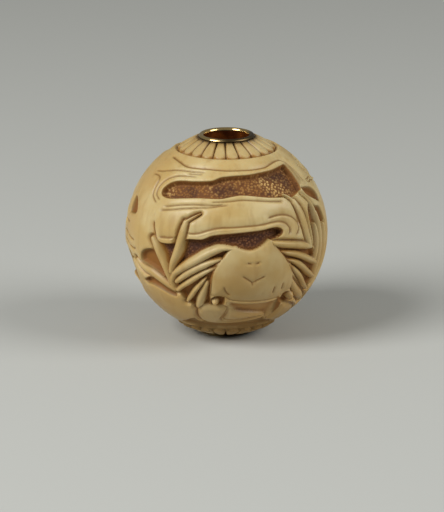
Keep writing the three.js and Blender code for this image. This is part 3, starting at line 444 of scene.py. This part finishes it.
# Strips along the ledges that are browned by colour alone, as painted shade under the ledges.
LEDGE_SHADE_PATCHES = [
    [[-34, 6.4], [-30, 7.6], [-24, 10.2], [-15, 10.9], [-9, 13], [-4, 14], [5, 14.7], [20, 15.5],
     [27, 16.3], [31.5, 16], [34.8, 14], [34.6, 11.5], [36.8, 10.4], [38.4, 13], [36.8, 16.2], [33, 17.8],
     [28, 18], [22, 17.4], [15, 17.1], [5, 16.8], [-5, 16.2], [-11, 14.6], [-15, 13.3], [-19, 12.5],
     [-24, 12.3], [-30, 9.6], [-34, 8.6]],
    [[60, 50.8], [64, 51.2], [67, 48], [67.5, 42], [66.5, 37], [63, 34.6], [60, 34], [60.5, 44]],
]
DARK_PATCHES = [
    [[57.6, 19], [58.6, 10], [59.4, 2], [60.4, -5], [62, -10.4], [63.4, -7], [62.4, -2], [62.2, 4],
     [61.6, 9], [61.6, 12], [63.4, 13], [64.6, 15], [63, 21], [60, 22]],
    [[34, -28.4], [38.4, -27.4], [41.4, -30], [42.4, -36], [41.6, -42], [38, -44], [36.6, -40],
     [36, -34]],
    [[-46, -52.6], [-40, -50.6], [-36, -48.9], [-31, -46.5], [-26, -45.6], [-22, -48.5], [-16, -50],
     [-16, -53], [-30, -52], [-40, -53.5]],
    [[10, -50.6], [20, -49.6], [28, -48], [33, -49.5], [30, -53], [20, -55], [10, -55]],
    [[-59.4, -21.4], [-57, -19.6], [-53, -18], [-48, -18.9], [-43, -21.2], [-37, -24], [-33, -25.4],
     [-35, -27.8], [-39, -26.8], [-43, -25.3], [-48, -23.8], [-53, -23], [-57, -23.2]],
]
CRAB_MIDDLE = [16.5, -17]
SMALL_CRAB_MIDDLE = [103, -33]
SMALL_CRAB_TURN = 115
SMALL_CRAB_SHARE = 0.36
FAR_SIDE_AXIS = [106, 0]
CURVE_STEPS = 4
NEARLY_NOTHING = 1e-6


def direction(places):
    east, up = np.radians(np.asarray(places, float)[..., 0]), np.radians(np.asarray(places, float)[..., 1])
    return np.stack([np.cos(up) * np.sin(east), -np.cos(up) * np.cos(east), np.sin(up)], -1)


def ease(share):
    share = np.clip(share, 0, 1)
    return share * share * (3 - 2 * share)


def fade(distance, reach):
    return np.clip(1 - distance / reach, 0, 1) ** 2


def turned_about(vectors, axis, angle):
    cosine, sine = math.cos(angle), math.sin(angle)
    return vectors * cosine + np.cross(axis, vectors) * sine + np.outer(vectors @ axis, axis) * (1 - cosine)


def as_drawn(vectors):
    return vectors


def as_small_crab(vectors):
    """The crab's own places, drawn in round its middle, swung to the flank and turned there."""
    middle, target = direction(CRAB_MIDDLE), direction(SMALL_CRAB_MIDDLE)
    away = np.arccos(np.clip(vectors @ middle, -1, 1))[:, None]
    across = vectors - middle * np.cos(away)
    across /= np.maximum(np.linalg.norm(across, axis=1, keepdims=True), NEARLY_NOTHING)
    near = middle * np.cos(away * SMALL_CRAB_SHARE) + across * np.sin(away * SMALL_CRAB_SHARE)
    axis = np.cross(middle, target)
    axis /= np.linalg.norm(axis)
    swung = turned_about(near, axis, math.acos(middle @ target))
    return turned_about(swung, target, math.radians(SMALL_CRAB_TURN))


as_drawn.share = 1.0
as_small_crab.share = SMALL_CRAB_SHARE


class Route:
    """A smooth line through places on the ball, with its half widths, its depths and the circle round it."""

    def __init__(self, places, closed, carry=as_drawn):
        knots = direction([place[:2] for place in places])
        extras = np.array([list(place[2:]) + [0.0] * (4 - len(place)) for place in places])
        count = len(places)
        points, found = [], []
        for span in range(count if closed else count - 1):
            wanted = range(span - 1, span + 3)
            picks = [k % count if closed else min(max(k, 0), count - 1) for k in wanted]
            a, b, c, d = knots[picks]
            for step in range(CURVE_STEPS):
                t = step / CURVE_STEPS
                points.append(b + 0.5 * ((c - a) * t + (2 * a - 5 * b + 4 * c - d) * t ** 2
                                         + (3 * b - a - 3 * c + d) * t ** 3))
                found.append(extras[picks[1]] * (1 - t) + extras[picks[2]] * t)
        points.append(knots[0] if closed else knots[-1])
        found.append(extras[0] if closed else extras[-1])
        points = np.array(points)
        points /= np.linalg.norm(points, axis=1, keepdims=True)
        self.points = carry(points) * BALL_RADIUS
        self.widths = np.array(found)[:, 0] * ONE_DEGREE * carry.share
        self.tops = np.array(found)[:, 1]
        middle = self.points.mean(0)
        self.middle = middle / np.linalg.norm(middle) * BALL_RADIUS
        self.reach = np.linalg.norm(self.points - self.middle, axis=1).max()

    def near(self, where, margin):
        gap = where - self.middle
        return np.flatnonzero(np.einsum("ij,ij->i", gap, gap) < (self.reach + margin) ** 2)

    def measure(self, where):
        """The distance from each point, less the half width there, with that width, the top and the side."""
        best = np.full(len(where), np.inf)
        width, top, side = np.zeros(len(where)), np.zeros(len(where)), np.ones(len(where))
        for i in range(len(self.points) - 1):
            start, along = self.points[i], self.points[i + 1] - self.points[i]
            gap = where - start
            share = np.clip(gap @ along / max(along @ along, NEARLY_NOTHING ** 2), 0, 1)
            here = self.widths[i] * (1 - share) + self.widths[i + 1] * share
            gap -= share[:, None] * along
            distance = np.sqrt(np.einsum("ij,ij->i", gap, gap)) - here
            closer = distance < best
            best[closer], width[closer] = distance[closer], here[closer]
            top[closer] = (self.tops[i] * (1 - share) + self.tops[i + 1] * share)[closer]
            side[closer] = np.sign(where[closer] @ np.cross(start, self.points[i + 1]))
        return best, width, top, side

    def inside(self, where):
        """Which points lie within the closed line, seen from over its middle."""
        forward = self.middle / np.linalg.norm(self.middle)
        right = np.array([forward[1], -forward[0], 0.0])
        right /= np.linalg.norm(right)
        up = np.cross(right, forward)
        ahead = where @ forward
        x, y = where @ right / ahead, where @ up / ahead
        rim = self.points / (self.points @ forward)[:, None]
        rim_x, rim_y = rim @ right, rim @ up
        found = np.zeros(len(where), bool)
        for i in range(len(rim) - 1):
            x0, y0, x1, y1 = rim_x[i], rim_y[i], rim_x[i + 1], rim_y[i + 1]
            if y0 != y1:
                found ^= ((y0 > y) != (y1 > y)) & (x < x0 + (x1 - x0) * (y - y0) / (y1 - y0))
        return found & (ahead > 0)


# Each kind of cut gives a function that changes the depth and the stain of the points on the ball. In a
# few places that stain value paints shade.
def sink(places, floor_depth, wall, stain_level):
    route = Route(places, True)

    def cut(where, depth, stain_and_shade):
        near = route.near(where, LIP_WIDTH)
        distance = route.measure(where[near])[0]
        inside = route.inside(where[near])
        lip = LIP_FALL * fade(distance, LIP_WIDTH)
        floor = LIP_FALL + (floor_depth - LIP_FALL) * ease(distance / wall)
        depth[near] = np.maximum(depth[near], np.where(inside, floor, lip))
        browned = stain_level * ease(distance / (wall * STAIN_WALL_SHARE))
        stain_and_shade[near] = np.maximum(stain_and_shade[near], np.where(inside, browned, 0))
    return cut


def darken(places, level, lowest):
    route = Route(places, True)

    def cut(where, depth, stain_and_shade):
        near = route.near(where, 0)
        inside = near[route.inside(where[near])]
        browned = level * ease(route.measure(where[inside])[0] / PATCH_FADE)
        stain_and_shade[inside] = np.maximum(stain_and_shade[inside], np.where(depth[inside] > lowest, browned, 0))
    return cut


def incise(places, cut_depth, left_width, right_width, ink=LINE_STAIN, carry=as_drawn):
    route = Route(places, False, carry)
    length = np.linalg.norm(np.diff(route.points, axis=0), axis=1).sum()
    run_in = min(LINE_TAPER, LINE_TAPER_SHARE * length)

    def cut(where, depth, stain_and_shade):
        near = route.near(where, max(left_width, right_width))
        distance, _, _, side = route.measure(where[near])
        first, last = (np.linalg.norm(where[near] - route.points[end], axis=1) for end in (0, -1))
        taper = ease(np.minimum(first, last) / run_in)
        groove = fade(distance, np.where(side > 0, left_width, right_width) * carry.share)
        depth[near] += cut_depth * groove * taper
        inked = ink * np.sqrt(fade(distance, LINE_STAIN_WIDTH * carry.share)) * taper
        stain_and_shade[near] = np.maximum(stain_and_shade[near], inked)
    return cut


def eye_socket(places):
    return sink(places, SOCKET_DEPTH, SOCKET_WALL, HOLLOW_STAIN)


def crab(carry):
    """A trench round every limb and plate, then the limbs, the plates over them, and the plates' lines."""
    limbs = [Route(places, False, carry) for places in LIMBS]
    plates = [(Route(SHELL_OUTLINE, True, carry), 0.0, SHELL_EDGE, SHELL_RISE)]
    plates += [(Route(places, True, carry), CLAW_TOP, CLAW_EDGE, CLAW_RISE) for places in CLAWS]
    eyes = [Route([place, place], False, carry) for place in EYES]
    grooves = [incise(places, LINE_DEPTH, LINE_WIDTH, LINE_WIDTH, carry=carry) for places in SHELL_GROOVES]
    relief = SMALL_RELIEF + (1 - SMALL_RELIEF) * carry.share
    trench = TRENCH_WIDTH * carry.share

    def cut(where, depth, stain_and_shade):
        measured = []
        for route in limbs + eyes:
            near = route.near(where, route.widths.max() + trench)
            distance, width, top, _ = route.measure(where[near])
            measured.append((near, distance, width, top))
            moat = TRENCH_DEPTH * relief * fade(np.maximum(distance, 0), trench)
            depth[near] = np.maximum(depth[near], moat)
        outlines = []
        for route, *_ in plates:
            near = route.near(where, trench)
            distance, inside = route.measure(where[near])[0], route.inside(where[near])
            outlines.append((near, distance, inside))
            moat = np.where(inside, 0, TRENCH_DEPTH * relief * fade(distance, trench))
            depth[near] = np.maximum(depth[near], moat)
        for near, distance, width, top in measured:
            share = np.maximum(distance + width, 0) / width
            crest = (top + LIMB_FALL * np.minimum(share, LIMB_SKIRT) ** LIMB_ROUNDNESS) * relief
            over = (share < LIMB_SKIRT) & (crest < depth[near])
            depth[near[over]] = crest[over]
            stain_and_shade[near[over]] = LIMB_STAIN
        for (near, distance, inside), (_, top, edge, rise) in zip(outlines, plates):
            brink = edge + LIMB_FALL * (distance / (PLATE_WALL * carry.share)) ** PLATE_ROUNDNESS
            crest = (top + np.where(inside, edge * fade(distance, rise * carry.share), brink)) * relief
            over = inside | ((crest < depth[near]) & (distance < PLATE_SKIRT * PLATE_WALL))
            depth[near[over]] = crest[over]
            stain_and_shade[near[over]] = SHELL_STAIN
        for groove in grooves:
            groove(where, depth, stain_and_shade)
    return cut


# The cuts in the order of the work, where a later one may stand over an earlier one.
cuts = (
    [sink(UPPER_GROUND, UPPER_GROUND_DEPTH, GROUND_WALL, UPPER_STAIN),
     sink(LOWER_GROUND, LOWER_GROUND_DEPTH, GROUND_WALL, LOWER_STAIN)]
    + [sink(places, LEG_FIELD_DEPTH, PIT_WALL, HOLLOW_STAIN) for places in LEG_FIELDS]
    + [sink(places, PIT_DEPTH, PIT_WALL, HOLLOW_STAIN) for places in PITS]
    + [sink(places, WEDGE_DEPTH, SOCKET_WALL, HOLLOW_STAIN) for places in WEDGES]
    + [sink(FOOT_GROUND, FOOT_GROUND_DEPTH, PIT_WALL, FOOT_STAIN)]
    + [sink(SHELL_FACE, FACE_DEPTH, FACE_WALL, FACE_STAIN)]
    # Painted shade: brown on the strips along the ledges.
    + [darken(places, LEDGE_SHADE, 0) for places in LEDGE_SHADE_PATCHES]
    + [darken(places, HOLLOW_STAIN, PATCH_LOWEST) for places in DARK_PATCHES]
    + [incise(places, LEDGE_DEPTH, LEDGE_WIDTH, LINE_WIDTH, LEDGE_STAIN) for places in LEDGES]
    + [incise(places, LINE_DEPTH, LINE_WIDTH, LINE_WIDTH) for places in FINE_LINES]
    + [crab(as_small_crab)] + [eye_socket(places) for places in SOCKETS] + [crab(as_drawn)]
)
flank_hollow = sink(FLANK_HOLLOW, PIT_DEPTH, PIT_WALL, HOLLOW_STAIN)


def collar(where, depth, stain_and_shade):
    """Rounded petals with grooves between them, and a lip round them all, at both ends of the hole."""
    along = BALL_RADIUS * np.arccos(np.clip(np.abs(where[:, 2]) / BALL_RADIUS, 0, 1))
    near = np.flatnonzero(along < COLLAR_REACH + COLLAR_LIP)
    along, x, y, upper = along[near], where[near, 0], where[near, 1], where[near, 2] > 0
    outward = np.clip((along - SEAT_RADIUS) / (COLLAR_REACH - SEAT_RADIUS), 0, 1)
    measured_at = np.maximum(along, SEAT_RADIUS / 2)
    half_width = math.pi * BALL_RADIUS * np.sin(measured_at / BALL_RADIUS) / PETAL_COUNT
    slant = PETAL_SLANT * (COLLAR_REACH - along) / COLLAR_REACH
    petal = np.arctan2(x, -y) / (2 * math.pi) * PETAL_COUNT + slant
    across = np.abs(petal - np.floor(petal) - 0.5) * 2 * half_width
    tip = COLLAR_REACH - half_width + np.sqrt(np.maximum(half_width ** 2 - across ** 2, 0)) - along
    top = np.where(upper, UPPER_COLLAR_FALL * outward - UPPER_COLLAR_STAND,
                   LOWER_COLLAR_FALL * outward - LOWER_COLLAR_STAND)
    run_out = ease((along - BORE_RADIUS) / (SEAT_RADIUS - BORE_RADIUS))
    groove = (PETAL_GROOVE_AT_RING * (1 - outward) + PETAL_GROOVE_AT_TIP * outward) * run_out
    rounded = PETAL_CROWN * ((across / half_width) ** 2 + fade(np.maximum(tip, 0), PETAL_TIP)) * run_out
    carved_depth = top + rounded + groove * fade(np.minimum(half_width - across, tip), PETAL_EDGE)
    floor = top + PETAL_CROWN + groove
    outside = np.maximum(depth[near], floor * (1 - (along - COLLAR_REACH) / COLLAR_LIP))
    depth[near] = np.where(along > COLLAR_REACH, outside, carved_depth)
    # The lower petals' outer ends are browned as painted shade. The upper petals take a light even stain.
    stain_and_shade[near] = np.where(upper, PETAL_STAIN, LOWER_TIP_SHADE * ease(2 * outward - 1))


def carved(directions):
    """The depth and the stain, which in a few places paints shade, at points on the ball: the far side's
    carving first, then the near side's.
    """
    where = directions * BALL_RADIUS
    depth = np.full(len(where), BAND_DEPTH)
    stain_and_shade = np.zeros(len(where))
    turned_round = turned_about(where, direction(FAR_SIDE_AXIS), math.pi)
    flank_hollow(where, depth, stain_and_shade)
    for side in (turned_round, where):
        for cut in cuts:
            cut(side, depth, stain_and_shade)
    collar(where, depth, stain_and_shade)
    return depth, stain_and_shade


def stippled(directions, depth, stain_and_shade):
    """Grains left standing close together on the stained grounds, and how near each point is to one's top."""
    count = int(4 * BALL_RADIUS ** 2 * math.pi / (STIPPLE_PITCH ** 2 * STIPPLE_PACKING))
    order = np.arange(count) + 0.5
    height = 1 - 2 * order / count
    turn_angle = math.pi * (1 + math.sqrt(5)) * order
    flat = np.sqrt(1 - height ** 2)
    tops = np.stack([flat * np.cos(turn_angle), flat * np.sin(turn_angle), height], 1) * BALL_RADIUS
    tops += np.random.default_rng(STIPPLE_SEED).normal(0, STIPPLE_PITCH * STIPPLE_SCATTER, tops.shape)
    tree = kdtree.KDTree(count)
    for index, top in enumerate(tops):
        tree.insert(top, index)
    tree.balance()
    grain = np.zeros(len(directions))
    for i in np.flatnonzero(stain_and_shade > HOLLOW_STAIN + STIPPLE_ONSET):
        grain[i] = max(1 - tree.find(directions[i] * BALL_RADIUS)[2] / STIPPLE_RADIUS, 0)
    grain *= np.clip((stain_and_shade - HOLLOW_STAIN) / (UPPER_STAIN - HOLLOW_STAIN), 0, 1)
    return depth - STIPPLE_HEIGHT * ease(grain), grain


# The ball starts as an even sphere. Its edges are halved where the carving is steep or stippled, and the
# hole is drilled once it is carved. The even sphere also tells creases from wide hollows.
BALL_SUBDIVISIONS = 8
REFINE_STEP = 0.03
REFINE_STAIN = 0.95
CREASE_ROUNDS, HOLLOW_ROUNDS = 10, 150
MERGE_DISTANCE = 1e-5
DRILL_OVERRUN = 1
DRILL_STEPS = 96
BODY_TRIANGLES = 196000
SKIN_START = SEAT_RADIUS + 0.001
NEIGHBOURS = 3


def coordinates(mesh):
    flat = np.empty(len(mesh.vertices) * 3)
    mesh.vertices.foreach_get("co", flat)
    return flat.reshape(-1, 3)


def edge_ends(mesh):
    ends = np.empty(len(mesh.edges) * 2, int)
    mesh.edges.foreach_get("vertices", ends)
    return ends[::2], ends[1::2]


def spread(values, rounds):
    for _ in range(rounds):
        total = np.bincount(starts, values[ends], len(values))
        total += np.bincount(ends, values[starts], len(values))
        values = 0.5 * values + 0.5 * total / ties
    return values


def turned(profile, steps, name):
    """A closed profile of (radius, height) corners, spun round the hole's axis."""
    spun = bmesh.new()
    corners = [spun.verts.new((radius, 0, height)) for radius, height in profile]
    edges = [spun.edges.new((corners[i - 1], corners[i])) for i in range(len(corners))]
    bmesh.ops.spin(spun, geom=corners + edges, cent=(0, 0, 0), axis=(0, 0, 1), dvec=(0, 0, 0),
                   angle=2 * math.pi, steps=steps, use_merge=True, use_duplicate=False)
    bmesh.ops.remove_doubles(spun, verts=spun.verts, dist=MERGE_DISTANCE)
    bmesh.ops.recalc_face_normals(spun, faces=spun.faces)
    mesh = bpy.data.meshes.new(name)
    spun.to_mesh(mesh)
    spun.free()
    return mesh


ball = bmesh.new()
bmesh.ops.create_icosphere(ball, subdivisions=BALL_SUBDIVISIONS, radius=1.0)
ball_mesh = bpy.data.meshes.new("ball")
ball.to_mesh(ball_mesh)
even = coordinates(ball_mesh)
even /= np.linalg.norm(even, axis=1, keepdims=True)
even_depth, even_stain_and_shade = carved(even)
starts, ends = edge_ends(ball_mesh)
ties = np.bincount(starts, minlength=len(even)) + np.bincount(ends, minlength=len(even))
close, wide = spread(even_depth, CREASE_ROUNDS), spread(even_depth, HOLLOW_ROUNDS)

steep = np.abs(even_depth[starts] - even_depth[ends]) > REFINE_STEP
rough_ground = even_stain_and_shade[starts] + even_stain_and_shade[ends] > 2 * REFINE_STAIN
ball.edges.ensure_lookup_table()
halved = [ball.edges[i] for i in np.flatnonzero(steep | rough_ground)]
bmesh.ops.subdivide_edges(ball, edges=halved, cuts=1, use_grid_fill=True)
bmesh.ops.triangulate(ball, faces=ball.faces)
ball.to_mesh(ball_mesh)
ball.free()
unit = coordinates(ball_mesh)
unit /= np.linalg.norm(unit, axis=1, keepdims=True)
depth, _ = stippled(unit, *carved(unit))
ball_mesh.vertices.foreach_set("co", (unit * (BALL_RADIUS - depth)[:, None]).ravel())
ball_mesh.update()

beyond_ball = BALL_RADIUS + DRILL_OVERRUN
drill_mesh = turned([
    (0, -beyond_ball), (SEAT_RADIUS, -beyond_ball), (SEAT_RADIUS, -LOWER_SEAT), (BORE_RADIUS, -LOWER_SEAT),
    (BORE_RADIUS, UPPER_SEAT), (SEAT_RADIUS, UPPER_SEAT), (SEAT_RADIUS, beyond_ball), (0, beyond_ball),
], DRILL_STEPS, "drill")
rough = bpy.data.objects.new("rough_body", ball_mesh)
drill = bpy.data.objects.new("drill", drill_mesh)
for maker in (rough, drill):
    bpy.context.scene.collection.objects.link(maker)
drilling = rough.modifiers.new("drilling", "BOOLEAN")
drilling.operation = "DIFFERENCE"
drilling.object = drill
drilling.solver = "MANIFOLD"
thinning = rough.modifiers.new("thinning", "DECIMATE")
thinning.ratio = BODY_TRIANGLES / len(ball_mesh.polygons)
body_mesh = bpy.data.meshes.new_from_object(rough.evaluated_get(bpy.context.evaluated_depsgraph_get()))
body_mesh.name = "ivory_body"
body_mesh.materials.clear()
for maker in (rough, drill):
    bpy.data.objects.remove(maker)

points = coordinates(body_mesh)
directions = points / np.linalg.norm(points, axis=1)[:, None]
depth, stain_and_shade = carved(directions)
_, grain = stippled(directions, depth, stain_and_shade)
nearest = kdtree.KDTree(len(even))
for index, place in enumerate(even):
    nearest.insert(place, index)
nearest.balance()
found = [nearest.find_n(place, NEIGHBOURS) for place in directions]
matches = np.array([[index for _, index, _ in few] for few in found])
weights = 1 / (np.array([[gap for _, _, gap in few] for few in found]) + NEARLY_NOTHING)
weights /= weights.sum(1, keepdims=True)
crease = ((even_depth - close)[matches] * weights).sum(1)
hollow = ((close - wide)[matches] * weights).sum(1)
masks = {"stain_and_shade": stain_and_shade, "grain": grain, "crease": crease, "hollow": hollow}
on_skin = np.hypot(points[:, 0], points[:, 1]) > SKIN_START
for name, values in masks.items():
    values = np.where(on_skin, values, 0)
    body_mesh.attributes.new(name, "FLOAT", "POINT").data.foreach_set("value", values)
set_in_place = Matrix.Translation(ball_centre) @ Matrix.Scale(MM, 4)
body_mesh.transform(set_in_place)
body_mesh.shade_smooth()

# The ivory's colours: clean skin, the brown of stain, which in a few places paints shade, a brown painted
# over the lower part as shade, and the floors and grain tops of the grounds, of which the lower one is
# darker.
PALE_IVORY, YELLOW_IVORY, AGED_IVORY = srgb(202, 181, 130), srgb(188, 158, 98), srgb(186, 152, 98)
STREAK_BROWN, LOWER_SHADE_BROWN, HOLLOW_BROWN = srgb(158, 122, 68), srgb(172, 112, 28), srgb(160, 108, 42)
THIN_STAIN_AND_SHADE_BROWN, FULL_STAIN_AND_SHADE_BROWN = srgb(124, 92, 40), srgb(134, 84, 28)
DARK_FLOOR, LIGHT_FLOOR, LOWER_FLOOR = srgb(78, 42, 16), srgb(112, 68, 26), srgb(74, 40, 22)
DARK_GRAIN, LIGHT_GRAIN, LOWER_GRAIN = srgb(150, 102, 44), srgb(206, 168, 104), srgb(122, 78, 46)
CREASE_BROWN, CREASE_DIRT = srgb(132, 84, 32), srgb(76, 42, 14)
RING_BROWN, RING_DIRT = srgb(128, 92, 40), srgb(66, 44, 20)

# A noise has its scale and how finely it breaks up. A range is where something starts and is full: a
# noise or a stain by its own value, and a place by its height, its distance from the axis or along X.
CLOUD_NOISE, PATCH_NOISE, BROAD_NOISE = (260.0, 4.0), (700.0, 3.0), (110.0, 3.0)
STREAK_NOISE, POLISH_NOISE = (1500.0, 3.0), (1600.0, 2.0)
STREAK_STRETCH = (1, 1, 0.08)
SKIN_CLOUDS, GRAIN_CLOUDS, PATCHES = (0.35, 0.65), (0.4, 0.62), (0.35, 0.6)
GROUND_STAINS, LOWER_GROUND_STAINS, MATT_STAINS = (0.55, 0.95), (1.0, 1.35), (0.0, 0.6)
GRAIN_TOPS = (0.0, 0.7)
RIGHT_END = (6.2 * MM, 4.8 * MM)
ABOVE_FOOT = (1.2 * MM, 2.4 * MM)
PETAL_ROOTS, PETAL_ENDS = (2.6 * MM, 3.5 * MM), (4.8 * MM, 4.5 * MM)
LEAST_IN_CREASES, LESS_AT_PETALS = 0.35, 0.4
LEAST_GRAIN, LEAST_AT_RIGHT_END = 0.35, 0.3
POLISHED_ROUGHNESS, UNEVEN_ROUGHNESS, STAINED_ROUGHNESS = 0.32, 0.14, 0.35
POLISH_BUMP = 0.03 * MM
POLISH_BUMP_SHARE = 0.5
GLOW_DEPTHS = (1.2 * MM, 0.8 * MM, 0.4 * MM)


def coated(tone, coats):
    """The tone under coats of colour: each has a mask, the range it comes in over, and its strength."""
    for mask, start, end, strength, colour in coats:
        tone = (mask.between(start, end) * strength).mix(tone, colour)
    return tone


def finished(name, mesh, material, body, node):
    piece = bpy.data.objects.new(name, mesh)
    bpy.context.scene.collection.objects.link(piece)
    mesh.materials.append(material)
    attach(piece, body)
    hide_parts(node)
    return piece


ivory, ivory_shader, place = new_material("old_ivory")
stain_and_shade_mask, grain_mask, crease_mask, hollow_mask = (place.attribute(name) for name in masks)
sideways, height, radius = place.along(0), place.along(2), place.from_axis()
cloud, patch, broad = place.noise(*CLOUD_NOISE), place.noise(*PATCH_NOISE), place.noise(*BROAD_NOISE)
streak = place.stretched(STREAK_STRETCH).noise(*STREAK_NOISE)
polish = place.noise(*POLISH_NOISE)
skin_tone = coated(cloud.between(*SKIN_CLOUDS).mix(PALE_IVORY, YELLOW_IVORY), (
    (broad, 0.5, 0.68, 0.5, AGED_IVORY),
    (streak, 0.5, 0.72, 0.28, STREAK_BROWN),
    # Painted shade: the ivory turns browner towards the bottom, from a little above the ball's middle down.
    (height, 11.0 * MM, 2.0 * MM, 0.26, LOWER_SHADE_BROWN),
    (hollow_mask, 0.0, 0.14, 0.75, HOLLOW_BROWN),
    # These stain browns also paint shade where the stain value carries it: along the ledges and on the lower
    # petals' ends.
    (stain_and_shade_mask, 0.0, 0.3, 0.8, THIN_STAIN_AND_SHADE_BROWN),
    (stain_and_shade_mask, 0.28, 0.5, 0.85, FULL_STAIN_AND_SHADE_BROWN),
))
in_lower_ground = stain_and_shade_mask.between(*LOWER_GROUND_STAINS)
floor_tone = in_lower_ground.mix(patch.between(*PATCHES).mix(DARK_FLOOR, LIGHT_FLOOR), LOWER_FLOOR)
grain_tone = in_lower_ground.mix(cloud.between(*GRAIN_CLOUDS).mix(DARK_GRAIN, LIGHT_GRAIN), LOWER_GRAIN)
unevenly = LEAST_GRAIN + (1 - LEAST_GRAIN) * patch.between(*PATCHES)
off_right_end = LEAST_AT_RIGHT_END + (1 - LEAST_AT_RIGHT_END) * sideways.between(*RIGHT_END)
rubbed_grains = grain_mask.between(*GRAIN_TOPS) * unevenly * off_right_end
ground_tone = rubbed_grains.mix(floor_tone, grain_tone)
at_petals = radius.between(*PETAL_ROOTS) * radius.between(*PETAL_ENDS)
off_foot = LEAST_IN_CREASES + (1 - LEAST_IN_CREASES) * height.between(*ABOVE_FOOT)
dirty = off_foot * (1 - LESS_AT_PETALS * at_petals)
ivory_tone = coated(stain_and_shade_mask.between(*GROUND_STAINS).mix(skin_tone, ground_tone), (
    (crease_mask, 0.0, 0.06, 0.5 * dirty, CREASE_BROWN),
    (radius, 3.3 * MM, 2.4 * MM, 0.6, RING_BROWN),
    (radius, 2.75 * MM, 2.45 * MM, 0.8, RING_DIRT),
    (crease_mask, 0.05, 0.2, 0.65 * dirty, CREASE_DIRT),
))
feed(ivory_shader, "Base Color", ivory_tone)
skin_roughness = POLISHED_ROUGHNESS + UNEVEN_ROUGHNESS * polish
feed(ivory_shader, "Roughness", skin_roughness + stain_and_shade_mask.between(*MATT_STAINS) * STAINED_ROUGHNESS)
feed(ivory_shader, "Normal", place.out("ShaderNodeBump", 0, Strength=POLISH_BUMP_SHARE,
                                       Distance=POLISH_BUMP, Height=polish))
feed(ivory_shader, "Specular IOR Level", 0.35)
feed(ivory_shader, "Subsurface Weight", 0.1)
feed(ivory_shader, "Subsurface Radius", GLOW_DEPTHS)
feed(ivory_shader, "Subsurface Scale", 1.0)
body = finished("ivory_body", body_mesh, ivory, "root", "bead_body")


# The lining: a drawn brass tube that carries the cord through the ivory, dull inside where the cord
# runs. It lies in the drilled hole from seat to seat, and its ends stop under the rims.
HOLE_RADIUS = 1.95
LINING_RADIUS = 2.15
RING_STEPS = 128
SHARP_EDGE = math.radians(40)
BRASS_NOISE = (900.0, 4.0)
BRASS_CLOUDS = (0.35, 0.65)
WARM_BRASS, BROWN_BRASS = srgb(170, 98, 40), srgb(104, 54, 24)

lining_mesh = turned([(HOLE_RADIUS, -LOWER_SEAT), (LINING_RADIUS, -LOWER_SEAT),
                      (LINING_RADIUS, UPPER_SEAT), (HOLE_RADIUS, UPPER_SEAT)], RING_STEPS, "lining")
lining_mesh.transform(set_in_place)
lining_mesh.shade_smooth()
lining_mesh.set_sharp_from_angle(angle=SHARP_EDGE)

dull_brass, dull_shader, place = new_material("dull_brass")
cloud = place.noise(*BRASS_NOISE)
feed(dull_shader, "Base Color", cloud.between(*BRASS_CLOUDS).mix(WARM_BRASS, BROWN_BRASS))
feed(dull_shader, "Metallic", 1.0)
feed(dull_shader, "Roughness", 0.42)
finished("lining", lining_mesh, dull_brass, "root", "lining_tube")


# The rims: each end of the lining is rolled over into a round brass lip that lies on the ivory. The lip's
# colour paints highlights: it is bright on top, most at the back and the left. It is dark at its foot, which
# is tarnish, and at its front right, which is a painted dark reflection. Patches of wear break it up.
RIM_RADIUS = 2.4
RIM_HEIGHT = 0.24
RIM_CLEARANCE = 0.02
RIM_STEPS = 20
TARNISHED_FOOT = 0.03
# The painted highlight: its least share on the dark side, how much the back counts, and where it comes in
# across the rim.
LEAST_HIGHLIGHT = 0.1
BACK_SHARE = 0.8
HIGHLIT_SIDE = (2.0 * MM, 0.5 * MM)
RUBBED_CLOUDS = (0.95, 0.5)
TARNISHED_ROUGHNESS, RUBBED_SHINE = 0.4, 0.26
TARNISH_AND_DARK_REFLECTION, HIGHLIT_BRASS = srgb(58, 44, 26), srgb(242, 208, 142)
RIMS = (
    ("top_rim", "upper_rim", 1, UPPER_SEAT),
    ("bottom_rim", "lower_rim", -1, LOWER_SEAT),
)

brass, brass_shader, place = new_material("rubbed_brass_painted_highlights")
cloud = place.noise(*BRASS_NOISE)
# Painted highlights on the back and the left, and a painted dark reflection on the front right.
from_highlit_side = place.along(0) - BACK_SHARE * place.along(1)
painted_highlight = LEAST_HIGHLIGHT + (1 - LEAST_HIGHLIGHT) * from_highlit_side.between(*HIGHLIT_SIDE)
off_foot = place.from_axis().between(RIM_RADIUS * MM, (RIM_RADIUS - TARNISHED_FOOT) * MM)
worn_and_highlit = off_foot * cloud.between(*RUBBED_CLOUDS) * painted_highlight
# Dark tarnish and painted dark reflection where the painted highlight is weak, and bright brass where it is
# strong.
feed(brass_shader, "Base Color", worn_and_highlit.mix(TARNISH_AND_DARK_REFLECTION, HIGHLIT_BRASS))
feed(brass_shader, "Metallic", 1.0)
feed(brass_shader, "Roughness", TARNISHED_ROUGHNESS - RUBBED_SHINE * worn_and_highlit)

for name, node, way, seat in RIMS:
    half = (RIM_RADIUS - HOLE_RADIUS) / 2
    foot = seat + RIM_CLEARANCE
    profile = [(HOLE_RADIUS, way * foot), (RIM_RADIUS, way * foot)]
    for step in range(1, RIM_STEPS):
        angle = math.pi * step / RIM_STEPS
        rise = RIM_HEIGHT * math.sin(angle)
        profile.append((HOLE_RADIUS + half + half * math.cos(angle), way * (foot + rise)))
    rim_mesh = turned(profile, RING_STEPS, name)
    rim_mesh.transform(set_in_place)
    rim_mesh.shade_smooth()
    finished(name, rim_mesh, brass, "root", node)
